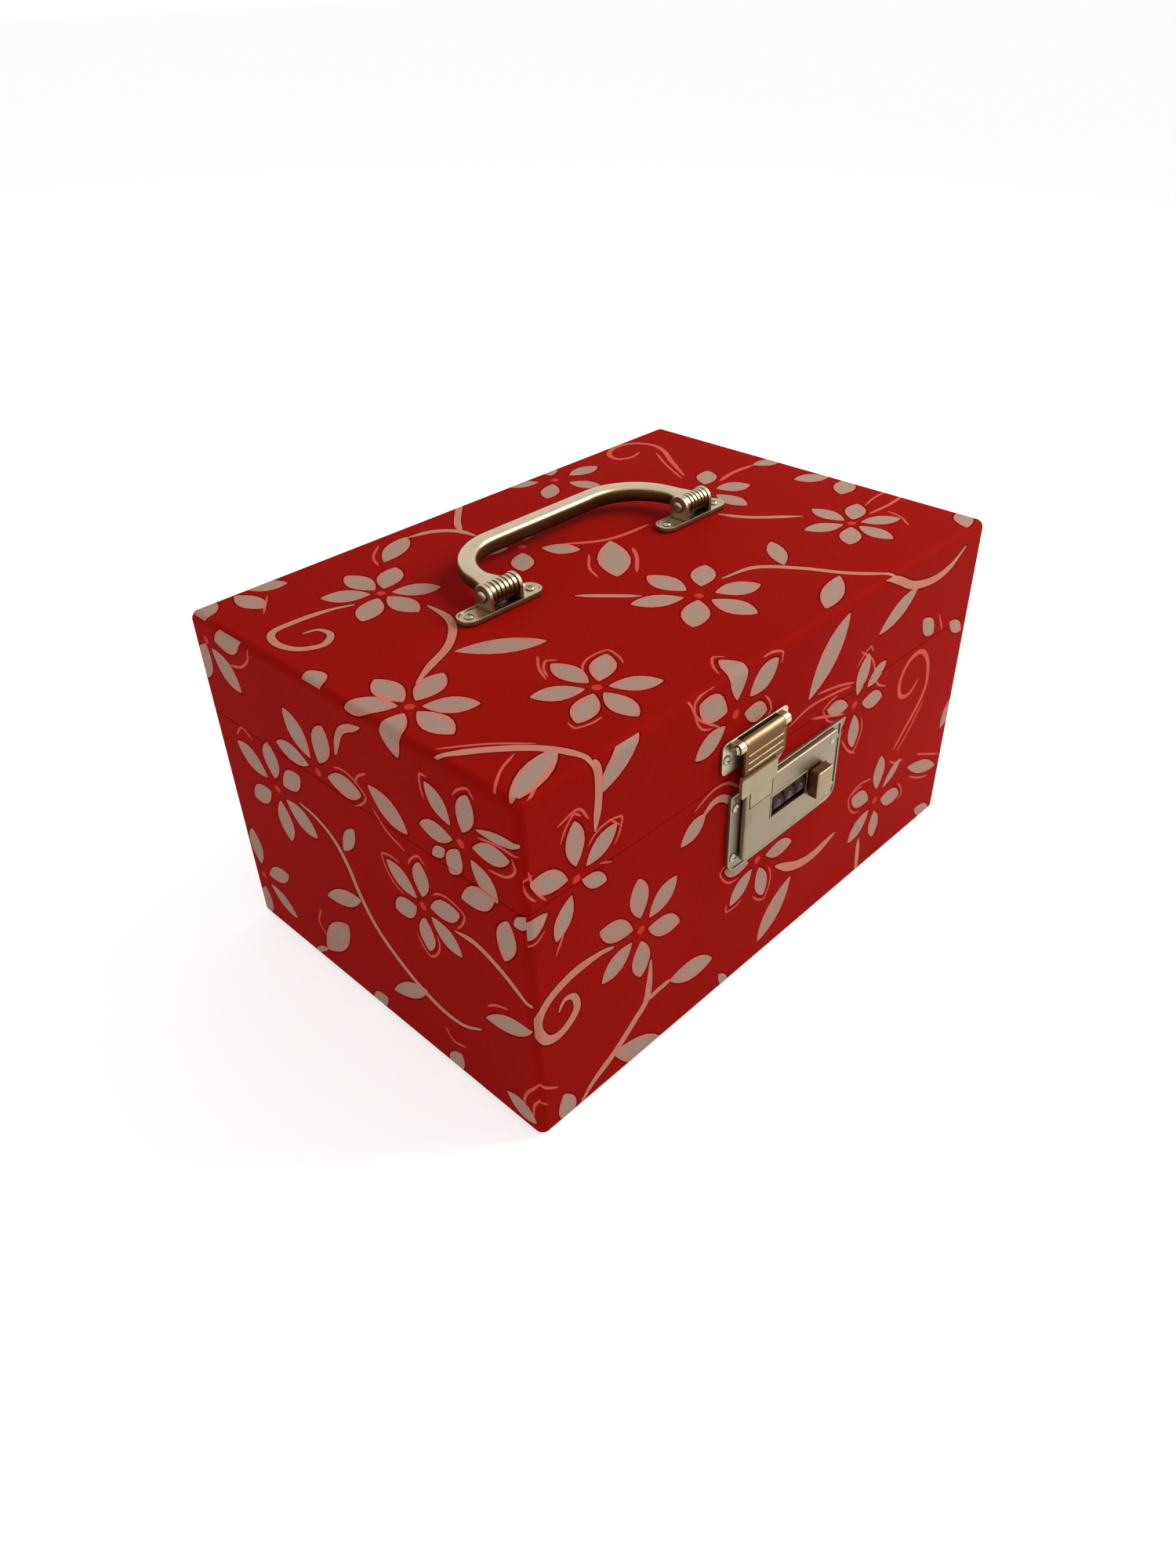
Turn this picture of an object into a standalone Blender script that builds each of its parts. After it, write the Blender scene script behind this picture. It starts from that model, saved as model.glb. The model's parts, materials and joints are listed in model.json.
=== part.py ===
"""A makeup box: fabric over board, a hinged lid, a folding carry handle, a hasp and a three-dial lock.

Metres, +Z up. The origin is the middle of the underside. The long side runs along X, and the
front, with the lock, faces -Y.
"""

import math

import bmesh
import bpy
from mathutils import Matrix, Vector

# The box as a whole, over its fabric
BOX_LENGTH = 0.300
BOX_DEPTH = 0.203
BOX_HEIGHT = 0.170
SEAM_HEIGHT = 0.122
SEAM_GAP = 0.0006
EDGE_RADIUS = 0.004

# What separates two pieces that touch, and how far a cutter runs past what it cuts
SEAT_GAP = 0.0003
RUNNING_GAP = 0.0006
OVERRUN = 0.010

# Boards, fabric and lining
COVER_THICKNESS = 0.0008
TURN_IN = 0.010
WALL_THICKNESS = 0.005
PANEL_THICKNESS = 0.004
LINING_THICKNESS = 0.001
SHEET_THICKNESS = 0.001
SHEET_MARGIN = 0.0005

# Lip that the lid closes over, and the runners under it
LIP_THICKNESS = 0.0025
LIP_RISE = 0.004
LIP_HEIGHT = 0.038
RUNNER_THICKNESS = 0.004
RUNNER_WIDTH = 0.010

# Sliding tray
TRAY_DEPTH = 0.092
TRAY_HEIGHT = 0.026
TRAY_BOARD = 0.0025
TRAY_STOP_GAP = 0.0004
TRAY_DIVIDER = 0.002
TRAY_DIVIDER_DROP = 0.004
TRAY_FRONT_ROOM = 0.038
TRAY_COMPARTMENTS = 3

# Mirror in the lid
MIRROR_LENGTH = 0.220
MIRROR_DEPTH = 0.130
MIRROR_THICKNESS = 0.002
MIRROR_FRAME_WIDTH = 0.007
MIRROR_FRAME_LIP = 0.003
MIRROR_FRAME_UNDER = 0.0014
MIRROR_FRAME_RADIUS = 0.006

# Lid hinges
HINGE_END_INSET = 0.055
HINGE_LENGTH = 0.032
HINGE_MIDDLE_LENGTH = 0.012
HINGE_LEAF_HEIGHT = 0.014
HINGE_LEAF_THICKNESS = 0.001
HINGE_BARREL_RADIUS = 0.0024
HINGE_PIN_RADIUS = 0.0010
HINGE_PIN_HEAD_RADIUS = 0.0016
HINGE_PIN_HEAD = 0.0008
HINGE_PRONG_SPACING = 0.020
HINGE_PRONG_RADIUS = 0.0009
HINGE_PRONG_LENGTH = 0.0045

# Small screws
SCREW_HEAD_RADIUS = 0.0021
SCREW_HEAD_HEIGHT = 0.0011
SCREW_SHANK_RADIUS = 0.0010
SCREW_LENGTH = 0.0052

# Carry handle and its brackets
HANDLE_SPACING = 0.122
HANDLE_SETBACK = 0.004
HANDLE_REACH = 0.038
HANDLE_BEND_RADIUS = 0.0290
HANDLE_WIDTH = 0.0085
HANDLE_THICKNESS = 0.0080
HANDLE_EDGE_RADIUS = 0.0028
HANDLE_AXIS_HEIGHT = 0.0080
HANDLE_EYE_RADIUS = 0.0048
HANDLE_EYE_LENGTH = 0.0140
HANDLE_PIN_RADIUS = 0.0015
HANDLE_PIN_HEAD_RADIUS = 0.0026
HANDLE_PIN_HEAD = 0.0009
BRACKET_LENGTH = 0.044
BRACKET_DEPTH = 0.011
BRACKET_THICKNESS = 0.0018
BRACKET_EAR_THICKNESS = 0.0017
BRACKET_EAR_RADIUS = 0.0052
BRACKET_SCREW_SPACING = 0.034

# Lock plate, its cap and the case behind it
LOCK_DROP = 0.009
LOCK_PLATE_LENGTH = 0.078
LOCK_PLATE_HEIGHT = 0.041
LOCK_PLATE_THICKNESS = 0.0010
LOCK_PLATE_RADIUS = 0.006
LOCK_SCREW_INSET = 0.0038
LOCK_SCREW_HEIGHT_INSET = 0.0075
CAP_LENGTH = 0.064
CAP_HEIGHT = 0.0356
CAP_DEPTH = 0.0031
CAP_WALL = 0.0010
CAP_TOP_MARGIN = 0.0004
CAP_EDGE_RADIUS = 0.0008
CASE_WALL = 0.0008
CASE_BACK = 0.0006
CASE_END_ROOM = 0.0030
CASE_HEIGHT_ROOM = 0.0017
CASE_FRONT_STAND = 0.0002

# Number dials
DIAL_RADIUS = 0.0049
DIAL_WIDTH = 0.0072
DIAL_PITCH = 0.0079
DIAL_COUNT = 3
DIAL_BANK_X = -0.00225
DIAL_DROP = 0.0170
DIAL_AXIS_BEHIND_PLATE = 0.0009
DIAL_TEETH = 20
DIAL_TOOTH_DEPTH = 0.00035
SHAFT_RADIUS = 0.0009
WINDOW_SIDE_MARGIN = 0.0010
WINDOW_HEIGHT_MARGIN = 0.0005
DETENT_THICKNESS = 0.0005
DETENT_DEPTH = 0.0034
DETENT_TOE = 0.0009

# Slide button and its bolt
BUTTON_LENGTH = 0.0110
BUTTON_HEIGHT = 0.0135
BUTTON_STAND = 0.0055
BUTTON_TRAVEL = 0.0050
BUTTON_ROOM = 0.0008
BUTTON_DROP = 0.0113
BUTTON_EDGE_RADIUS = 0.0009
NECK_LENGTH = 0.0064
NECK_HEIGHT = 0.0089
SLIDE_LENGTH = 0.0128
BOLT_THICKNESS = 0.0011
BOLT_HEIGHT = 0.0033
BOLT_DROP = 0.0054
BOLT_STANDOFF = 0.0006
SPRING_TAB_LENGTH = 0.0018
SPRING_TAB_DROP = 0.0040
SPRING_RADIUS = 0.00075
SPRING_WIRE_RADIUS = 0.00014
SPRING_LENGTH = 0.0180
SPRING_TURNS = 9
SPRING_POINTS_PER_TURN = 8

# Hasp and its hinge plate on the lid
HASP_X = -0.0245
HASP_SHIFT = 0.0018
HASP_PLATE_LENGTH = 0.042
HASP_PLATE_RISE = 0.004
HASP_PLATE_HEIGHT = 0.0148
HASP_PLATE_THICKNESS = 0.0010
HASP_PLATE_RADIUS = 0.0025
HASP_BARREL_RADIUS = 0.0025
HASP_AXIS_RISE = 0.0160
HASP_MIDDLE_LENGTH = 0.0244
HASP_END_LENGTH = 0.0035
HASP_PIN_RADIUS = 0.0010
HASP_PIN_HEAD_RADIUS = 0.0018
HASP_PIN_HEAD = 0.0012
HASP_SCREW_INSET = 0.0026
HASP_SCREW_HEIGHT = 0.0072
HASP_ARM_LENGTH = 0.0265
HASP_ARM_THICKNESS = 0.0012
HASP_FLAP_LENGTH = 0.0235
HASP_FLAP_HEIGHT = 0.0102
HASP_FLAP_THICKNESS = 0.0015
HASP_FLAP_RADIUS = 0.0012
HASP_TONGUE_LENGTH = 0.0145
HASP_TONGUE_DROP = 0.0086
STAPLE_NECK_LENGTH = 0.0040
STAPLE_FOOT_LENGTH = 0.0100
STAPLE_FOOT_HEIGHT = 0.0054
STAPLE_FOOT_THICKNESS = 0.0011
STAPLE_BACK_GAP = 0.0007

# Counts of facets, and shares of a size that only shape it
ROUND_SIDES = 20
SMALL_SIDES = 12
BEND_STEPS = 10
CORNER_STEPS = 4
BEVEL_STEPS = 3
SCREW_CROWN_SHARE = 0.72
SCREW_RIM_SHARE = 0.45
HANDLE_TAPER_SHARE = 0.90
HANDLE_SWELL_SHARE = 1.06
WELD = 0.000005

# Places that many pieces share
HALF_LENGTH = BOX_LENGTH / 2
HALF_DEPTH = BOX_DEPTH / 2
FRONT = -HALF_DEPTH
BACK = HALF_DEPTH
COVER_BOTTOM = SHEET_THICKNESS + SEAT_GAP
BOARD_INSET = COVER_THICKNESS + SEAT_GAP
BASE_RIM = SEAM_HEIGHT - SEAM_GAP / 2
LID_RIM = SEAM_HEIGHT + SEAM_GAP / 2
INNER_HALF_LENGTH = HALF_LENGTH - BOARD_INSET - WALL_THICKNESS
INNER_HALF_DEPTH = HALF_DEPTH - BOARD_INSET - WALL_THICKNESS
LINED_HALF_LENGTH = INNER_HALF_LENGTH - SEAT_GAP - LINING_THICKNESS
LINED_HALF_DEPTH = INNER_HALF_DEPTH - SEAT_GAP - LINING_THICKNESS
BASE_FLOOR = COVER_BOTTOM + BOARD_INSET + PANEL_THICKNESS
LID_CEILING = BOX_HEIGHT - BOARD_INSET - PANEL_THICKNESS
LIP_TOP = SEAM_HEIGHT + LIP_RISE
LIP_BOTTOM = LIP_TOP - LIP_HEIGHT
LIP_HALF_LENGTH = LINED_HALF_LENGTH - SEAT_GAP
LIP_HALF_DEPTH = LINED_HALF_DEPTH - SEAT_GAP
RUNNER_TOP = LIP_BOTTOM - SEAT_GAP
HINGE_AXIS = Vector((0, BACK + SEAT_GAP + HINGE_BARREL_RADIUS, SEAM_HEIGHT))
HANDLE_AXIS = Vector((0, HANDLE_SETBACK, BOX_HEIGHT + HANDLE_AXIS_HEIGHT))
LOCK_TOP = SEAM_HEIGHT - LOCK_DROP
LOCK_BACK = FRONT - SEAT_GAP
LOCK_FRONT = LOCK_BACK - LOCK_PLATE_THICKNESS
CAP_BACK = LOCK_FRONT - SEAT_GAP
CAP_FACE = CAP_BACK - CAP_DEPTH
CAP_TOP = LOCK_TOP - CAP_TOP_MARGIN
DIAL_AXIS = Vector((DIAL_BANK_X, LOCK_FRONT + DIAL_AXIS_BEHIND_PLATE, LOCK_TOP - DIAL_DROP))
DIAL_BANK_HALF = (DIAL_PITCH * (DIAL_COUNT - 1) + DIAL_WIDTH) / 2
CASE_LEFT = DIAL_BANK_X - DIAL_BANK_HALF - CASE_END_ROOM - CASE_WALL
CASE_RIGHT = DIAL_BANK_X + DIAL_BANK_HALF + CASE_END_ROOM + CASE_WALL
CASE_HALF_HEIGHT = DIAL_RADIUS + CASE_HEIGHT_ROOM + CASE_WALL
CASE_REAR = FRONT + BOARD_INSET + WALL_THICKNESS - SEAT_GAP
CASE_FRONT = LOCK_FRONT - CASE_FRONT_STAND
BUTTON_LEFT = DIAL_BANK_X + DIAL_BANK_HALF + WINDOW_SIDE_MARGIN + BUTTON_ROOM
BUTTON_TOP = LOCK_TOP - BUTTON_DROP
HASP_AXIS = Vector((
    HASP_X,
    FRONT - SEAT_GAP - HASP_PLATE_THICKNESS - SEAT_GAP - HASP_BARREL_RADIUS,
    SEAM_HEIGHT + HASP_AXIS_RISE,
))
ARM_X = HASP_X + HASP_SHIFT
FLAP_X = HASP_X - HASP_SHIFT
TONGUE_BOTTOM = CAP_TOP - HASP_TONGUE_DROP
FOOT_BACK = FRONT - STAPLE_BACK_GAP
FOOT_FRONT = FOOT_BACK - STAPLE_FOOT_THICKNESS
FOOT_LEFT = ARM_X - (STAPLE_FOOT_LENGTH + STAPLE_NECK_LENGTH / 2) / 2 + HASP_SHIFT / 2
FOOT_RIGHT = FOOT_LEFT + STAPLE_FOOT_LENGTH

# Finishes: colour, roughness, metallic
PRINTED_CLOTH = ((0.55, 0.03, 0.02), 0.75, 0.0)
LINING_CLOTH = ((0.12, 0.02, 0.03), 0.90, 0.0)
BOARD = ((0.45, 0.33, 0.22), 0.80, 0.0)
UNDER_CLOTH = ((0.03, 0.03, 0.03), 0.90, 0.0)
PALE_GOLD = ((0.62, 0.56, 0.40), 0.28, 1.0)
STEEL = ((0.55, 0.55, 0.55), 0.35, 1.0)
DIAL_BLACK = ((0.03, 0.02, 0.02), 0.40, 0.0)
MIRROR_SILVER = ((0.85, 0.87, 0.88), 0.03, 1.0)

AXIS_X = Vector((1, 0, 0))
AXIS_Y = Vector((0, 1, 0))
AXIS_Z = Vector((0, 0, 1))
PLANES = {
    "top": (AXIS_X, AXIS_Y, AXIS_Z),
    "front": (AXIS_X, AXIS_Z, -AXIS_Y),
    "side": (AXIS_Y, AXIS_Z, AXIS_X),
}


def clear_scene():
    for obj in list(bpy.data.objects):
        bpy.data.objects.remove(obj, do_unlink=True)


def new_collection(name):
    collection = bpy.data.collections.new(name)
    bpy.context.scene.collection.children.link(collection)
    return collection


def add_object(name, data, matrix=None):
    """Puts new data in the scene, among the cutters until it is finished as a part."""
    obj = bpy.data.objects.new(name, data)
    cutters.objects.link(obj)
    if matrix is not None:
        obj.matrix_world = matrix
    obj.hide_render = True
    obj.display_type = "WIRE"
    return obj


def finish(obj, name, look, pivot=None):
    """Makes an object a part: its name, its own material, its collection and its joint."""
    cutters.objects.unlink(obj)
    parts.objects.link(obj)
    obj.name = name
    obj.hide_render = False
    obj.display_type = "TEXTURED"
    color, roughness, metallic = look
    material = bpy.data.materials.new(name + "_finish")
    material.use_nodes = True
    shader = material.node_tree.nodes["Principled BSDF"]
    shader.inputs["Base Color"].default_value = (*color, 1)
    shader.inputs["Roughness"].default_value = roughness
    shader.inputs["Metallic"].default_value = metallic
    obj.data.materials.clear()
    obj.data.materials.append(material)
    if pivot is not None:
        obj.parent = pivot
        obj.matrix_parent_inverse = Matrix.Translation(-pivot.location)
    return obj


def joint_empty(name, location, parent=None):
    """An empty on a joint's axis, which carries the pieces that move with it."""
    empty = bpy.data.objects.new(name, None)
    parts.objects.link(empty)
    empty.location = location
    empty.empty_display_size = OVERRUN
    if parent is not None:
        empty.parent = parent
        empty.location = Vector(location) - parent.location
    return empty


def evaluated_mesh(obj, name):
    """The object's shape as a welded mesh of its own, and the object is removed."""
    bpy.context.view_layer.update()
    evaluated = obj.evaluated_get(bpy.context.evaluated_depsgraph_get())
    mesh = bpy.data.meshes.new_from_object(evaluated)
    mesh.name = name
    shape = bmesh.new()
    shape.from_mesh(mesh)
    bmesh.ops.remove_doubles(shape, verts=shape.verts, dist=WELD)
    bmesh.ops.recalc_face_normals(shape, faces=shape.faces)
    shape.to_mesh(mesh)
    shape.free()
    bpy.data.objects.remove(obj, do_unlink=True)
    return mesh


def box(name, low, high, radius=0, steps=BEVEL_STEPS):
    """A box between two corners, its edges rounded where a radius is given."""
    low, high = Vector(low), Vector(high)
    shape = bmesh.new()
    bmesh.ops.create_cube(shape, size=1)
    bmesh.ops.scale(shape, vec=high - low, verts=shape.verts)
    mesh = bpy.data.meshes.new(name)
    shape.to_mesh(mesh)
    shape.free()
    obj = add_object(name, mesh)
    obj.location = (low + high) / 2
    if radius:
        bevel = obj.modifiers.new("Bevel", "BEVEL")
        bevel.width = radius
        bevel.segments = steps
    return obj


def rod(name, radius, start, end, sides=ROUND_SIDES):
    """A cylinder between two points."""
    start, end = Vector(start), Vector(end)
    shape = bmesh.new()
    bmesh.ops.create_cone(
        shape, cap_ends=True, segments=sides, radius1=radius, radius2=radius, depth=(end - start).length
    )
    mesh = bpy.data.meshes.new(name)
    shape.to_mesh(mesh)
    shape.free()
    turn = (end - start).to_track_quat("Z", "Y").to_matrix().to_4x4()
    return add_object(name, mesh, Matrix.Translation((start + end) / 2) @ turn)


def rods(name, radius, pairs, sides=SMALL_SIDES):
    """Several separate cylinders in one cutter."""
    shape = bmesh.new()
    for start, end in pairs:
        start, end = Vector(start), Vector(end)
        turn = (end - start).to_track_quat("Z", "Y").to_matrix().to_4x4()
        bmesh.ops.create_cone(
            shape,
            cap_ends=True,
            segments=sides,
            radius1=radius,
            radius2=radius,
            depth=(end - start).length,
            matrix=Matrix.Translation((start + end) / 2) @ turn,
        )
    mesh = bpy.data.meshes.new(name)
    shape.to_mesh(mesh)
    shape.free()
    return add_object(name, mesh)


def plate(name, plane, near, far, edge, holes=()):
    """A flat outline with holes, drawn in a plane and filled between two places along its normal."""
    across, up, normal = PLANES[plane]
    curve = bpy.data.curves.new(name, "CURVE")
    curve.dimensions = "2D"
    curve.fill_mode = "BOTH"
    curve.extrude = abs(far - near) / 2
    for outline in (edge, *holes):
        spline = curve.splines.new("POLY")
        spline.points.add(len(outline) - 1)
        for point, (u, v) in zip(spline.points, outline):
            point.co = (u, v, 0, 1)
        spline.use_cyclic_u = True
    sign = sum(normal)
    matrix = Matrix((across, up, normal)).transposed().to_4x4()
    matrix.translation = normal * sign * (near + far) / 2
    mesh = evaluated_mesh(add_object(name, curve), name)
    return add_object(name, mesh, matrix)


def arc(centre, radius, start, end, steps):
    """Points along an arc, in degrees, both ends included."""
    points = []
    for step in range(steps + 1):
        angle = math.radians(start + (end - start) * step / steps)
        points.append((centre[0] + radius * math.cos(angle), centre[1] + radius * math.sin(angle)))
    return points


def rounded_rectangle(low, high, radii, steps=CORNER_STEPS):
    """An outline with its own radius at each corner: bottom left, bottom right, top right, top left."""
    corners = [
        (low[0], low[1], 1, 1, 180),
        (high[0], low[1], -1, 1, 270),
        (high[0], high[1], -1, -1, 0),
        (low[0], high[1], 1, -1, 90),
    ]
    points = []
    for (u, v, right, up, start), radius in zip(corners, radii):
        if radius:
            centre = (u + right * radius, v + up * radius)
            points += arc(centre, radius, start, start + 90, steps)
        else:
            points.append((u, v))
    return points


def turned_mesh(name, profile, sides=SMALL_SIDES):
    """A profile of (radius, height) pairs, top to bottom, turned once round Z."""
    mesh = bpy.data.meshes.new(name)
    points = [(radius, 0, height) for radius, height in profile]
    mesh.from_pydata(points, [(i, i + 1) for i in range(len(points) - 1)], [])
    obj = add_object(name, mesh)
    screw = obj.modifiers.new("Screw", "SCREW")
    screw.axis = "Z"
    screw.steps = sides
    screw.render_steps = sides
    screw.use_merge_vertices = True
    screw.merge_threshold = WELD
    return evaluated_mesh(obj, name)


def stand(name, mesh, place, out):
    """A copy of a turned mesh at a place, with its top facing out."""
    turn = Vector(out).to_track_quat("Z", "Y").to_matrix().to_4x4()
    return smooth(add_object(name, mesh.copy(), Matrix.Translation(place) @ turn))


def combine(obj, operation, *others):
    for other in others:
        modifier = obj.modifiers.new(operation.title(), "BOOLEAN")
        modifier.operation = operation
        modifier.object = other
    return obj


def cut(obj, *others):
    return combine(obj, "DIFFERENCE", *others)


def weld_on(obj, *others):
    return combine(obj, "UNION", *others)


def keep_inside(obj, *others):
    return combine(obj, "INTERSECT", *others)


def smooth(obj, angle=40):
    """Shades round faces smooth and keeps the edges that are sharper than the angle."""
    obj.data.shade_smooth()
    obj.data.set_sharp_from_angle(angle=math.radians(angle))
    return obj


def screws(name, places, out, pivot, *drilled):
    """Pan-head screws with their heads on the given places, and their holes in what they pass."""
    profile = [
        (0, SCREW_HEAD_HEIGHT),
        (SCREW_HEAD_RADIUS * SCREW_CROWN_SHARE, SCREW_HEAD_HEIGHT),
        (SCREW_HEAD_RADIUS, SCREW_HEAD_HEIGHT * SCREW_RIM_SHARE),
        (SCREW_HEAD_RADIUS, 0),
        (SCREW_SHANK_RADIUS, 0),
        (SCREW_SHANK_RADIUS, -SCREW_LENGTH),
        (0, -SCREW_LENGTH),
    ]
    out = Vector(out)
    mesh = turned_mesh(name, profile)
    seats = [Vector(place) + out * SEAT_GAP for place in places]
    ends = [(seat + out * OVERRUN, seat - out * (SCREW_LENGTH + SEAT_GAP)) for seat in seats]
    holes = rods(name + "_holes", SCREW_SHANK_RADIUS + SEAT_GAP, ends)
    for piece in drilled:
        cut(piece, holes)
    for index, seat in enumerate(seats, 1):
        finish(stand(name, mesh, seat, out), f"{name}_{index}", PALE_GOLD, pivot)


def headed_pin(name, radius, head_radius, head, length, place):
    """A pin along X with a round head at each end."""
    half = length / 2
    profile = [
        (0, half + head),
        (head_radius * SCREW_CROWN_SHARE, half + head),
        (head_radius, half + head * SCREW_RIM_SHARE),
        (head_radius, half),
        (radius, half),
        (radius, -half),
        (head_radius, -half),
        (head_radius, -half - head * SCREW_RIM_SHARE),
        (head_radius * SCREW_CROWN_SHARE, -half - head),
        (0, -half - head),
    ]
    return stand(name, turned_mesh(name, profile), place, AXIS_X)


def shell_block(name, inset, radius):
    """The whole box, lid and base together, drawn in by an inset, with rounded edges."""
    low = (-HALF_LENGTH + inset, FRONT + inset, COVER_BOTTOM + inset)
    high = (HALF_LENGTH - inset, BACK - inset, BOX_HEIGHT - inset)
    return box(name, low, high, radius)


def layer(name, bottom, top, inset=-OVERRUN):
    """A box over the whole plan of the case between two heights."""
    low = (-HALF_LENGTH + inset, FRONT + inset, bottom)
    return box(name, low, (HALF_LENGTH - inset, BACK - inset, top))


def fabric_cover(name, rim, turn_end, keep, pivot):
    """Fabric over the outside of a half, round its rim and a little way down inside."""
    inward = 1 if turn_end > rim else -1
    wall_top = rim + inward * COVER_THICKNESS
    core = shell_block(name + "_core", COVER_THICKNESS, EDGE_RADIUS - COVER_THICKNESS)
    far = turn_end + inward * BOX_HEIGHT
    keep_inside(core, layer(name + "_wall_height", min(wall_top, far), max(wall_top, far)))
    behind = COVER_THICKNESS + SEAT_GAP + WALL_THICKNESS + SEAT_GAP
    past_rim = rim - inward * OVERRUN
    inner = layer(name + "_turned_in", min(past_rim, turn_end), max(past_rim, turn_end), behind)
    cut(core, inner)
    inside = behind + COVER_THICKNESS
    ends = (past_rim, turn_end + inward * OVERRUN)
    well = layer(name + "_well", min(ends), max(ends), inside)
    cover = shell_block(name, 0, EDGE_RADIUS)
    keep_inside(cover, layer(name + "_half", *keep))
    cut(cover, core, well)
    return finish(smooth(cover), name, PRINTED_CLOTH, pivot)


def wall_pieces(prefix, bottom, top, pivot):
    """Front, back, left and right boards of one half. The side boards stand between the other two."""
    outer_x, outer_y = HALF_LENGTH + OVERRUN, HALF_DEPTH + OVERRUN
    side_y = INNER_HALF_DEPTH - SEAT_GAP
    regions = {
        "front": ((-outer_x, -outer_y, bottom), (outer_x, -INNER_HALF_DEPTH, top)),
        "back": ((-outer_x, INNER_HALF_DEPTH, bottom), (outer_x, outer_y, top)),
        "left": ((-outer_x, -side_y, bottom), (-INNER_HALF_LENGTH, side_y, top)),
        "right": ((INNER_HALF_LENGTH, -side_y, bottom), (outer_x, side_y, top)),
    }
    walls = {}
    for side, (low, high) in regions.items():
        wall = keep_inside(box(side, low, high), board_block)
        walls[side] = finish(wall, f"{prefix}_{side}_wall", BOARD, pivot)
    return walls


def lining_shell(name, low_z, high_z, open_below, pivot):
    """A thin box lining that is open on the side of the seam."""
    half_x, half_y = INNER_HALF_LENGTH - SEAT_GAP, INNER_HALF_DEPTH - SEAT_GAP
    shell = box(name, (-half_x, -half_y, low_z), (half_x, half_y, high_z))
    room_low = low_z - OVERRUN if open_below else low_z + LINING_THICKNESS
    room_high = high_z - LINING_THICKNESS if open_below else high_z + OVERRUN
    room = box(
        name + "_room",
        (-LINED_HALF_LENGTH, -LINED_HALF_DEPTH, room_low),
        (LINED_HALF_LENGTH, LINED_HALF_DEPTH, room_high),
    )
    return finish(cut(shell, room), name, LINING_CLOTH, pivot)


def build_base():
    """Boards, fabric, lining, lip and runners of the lower half."""
    flat_x, flat_y = HALF_LENGTH - EDGE_RADIUS, HALF_DEPTH - EDGE_RADIUS
    sheet_low = (-flat_x + SHEET_MARGIN, -flat_y + SHEET_MARGIN, 0)
    sheet_high = (flat_x - SHEET_MARGIN, flat_y - SHEET_MARGIN, SHEET_THICKNESS)
    finish(box("sheet", sheet_low, sheet_high), "underside_sheet", UNDER_CLOTH)
    panel = keep_inside(layer("panel", 0, BASE_FLOOR), board_block)
    finish(panel, "base_bottom_panel", BOARD)
    walls = wall_pieces("base", BASE_FLOOR + SEAT_GAP, BASE_RIM - BOARD_INSET, None)
    cover = fabric_cover("base_cover", BASE_RIM, BASE_RIM - TURN_IN, (0, BASE_RIM), None)
    under = layer("base_cover_under", -OVERRUN, BASE_FLOOR, BOARD_INSET + WALL_THICKNESS)
    cut(cover, under)
    lining_top = BASE_RIM - TURN_IN - SEAT_GAP
    lining_shell("base_lining", BASE_FLOOR + SEAT_GAP, lining_top, False, None)
    long_x, outer_y = LIP_HALF_LENGTH, LIP_HALF_DEPTH
    inner_x, inner_y = long_x - LIP_THICKNESS, outer_y - LIP_THICKNESS
    lip = box("lip", (-long_x, -outer_y, LIP_BOTTOM), (long_x, outer_y, LIP_TOP))
    well_low, well_high = LIP_BOTTOM - OVERRUN, LIP_TOP + OVERRUN
    cut(lip, box("lip_well", (-inner_x, -inner_y, well_low), (inner_x, inner_y, well_high)))
    finish(lip, "locating_lip", LINING_CLOTH)
    runner_bottom = RUNNER_TOP - RUNNER_THICKNESS
    for side, name in ((-1, "tray_runner_left"), (1, "tray_runner_right")):
        ends = sorted((side * long_x, side * (long_x - RUNNER_WIDTH)))
        low = (ends[0], -outer_y, runner_bottom)
        finish(box(name, low, (ends[1], outer_y, RUNNER_TOP)), name, LINING_CLOTH)
    return walls, cover


def build_lid(pivot):
    """Boards, fabric, lining and mirror of the lid."""
    panel = keep_inside(layer("panel", LID_CEILING, BOX_HEIGHT), board_block)
    finish(panel, "lid_top_panel", BOARD, pivot)
    walls = wall_pieces("lid", LID_RIM + BOARD_INSET, LID_CEILING - SEAT_GAP, pivot)
    cover = fabric_cover("lid_cover", LID_RIM, LID_RIM + TURN_IN, (LID_RIM, BOX_HEIGHT + OVERRUN), pivot)
    lining_low = LID_RIM + TURN_IN + SEAT_GAP
    lining_high = LID_CEILING - SEAT_GAP
    lining_shell("lid_lining", lining_low, lining_high, True, pivot)
    build_mirror(lining_high - LINING_THICKNESS - SEAT_GAP, pivot)
    return walls, cover, panel


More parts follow.
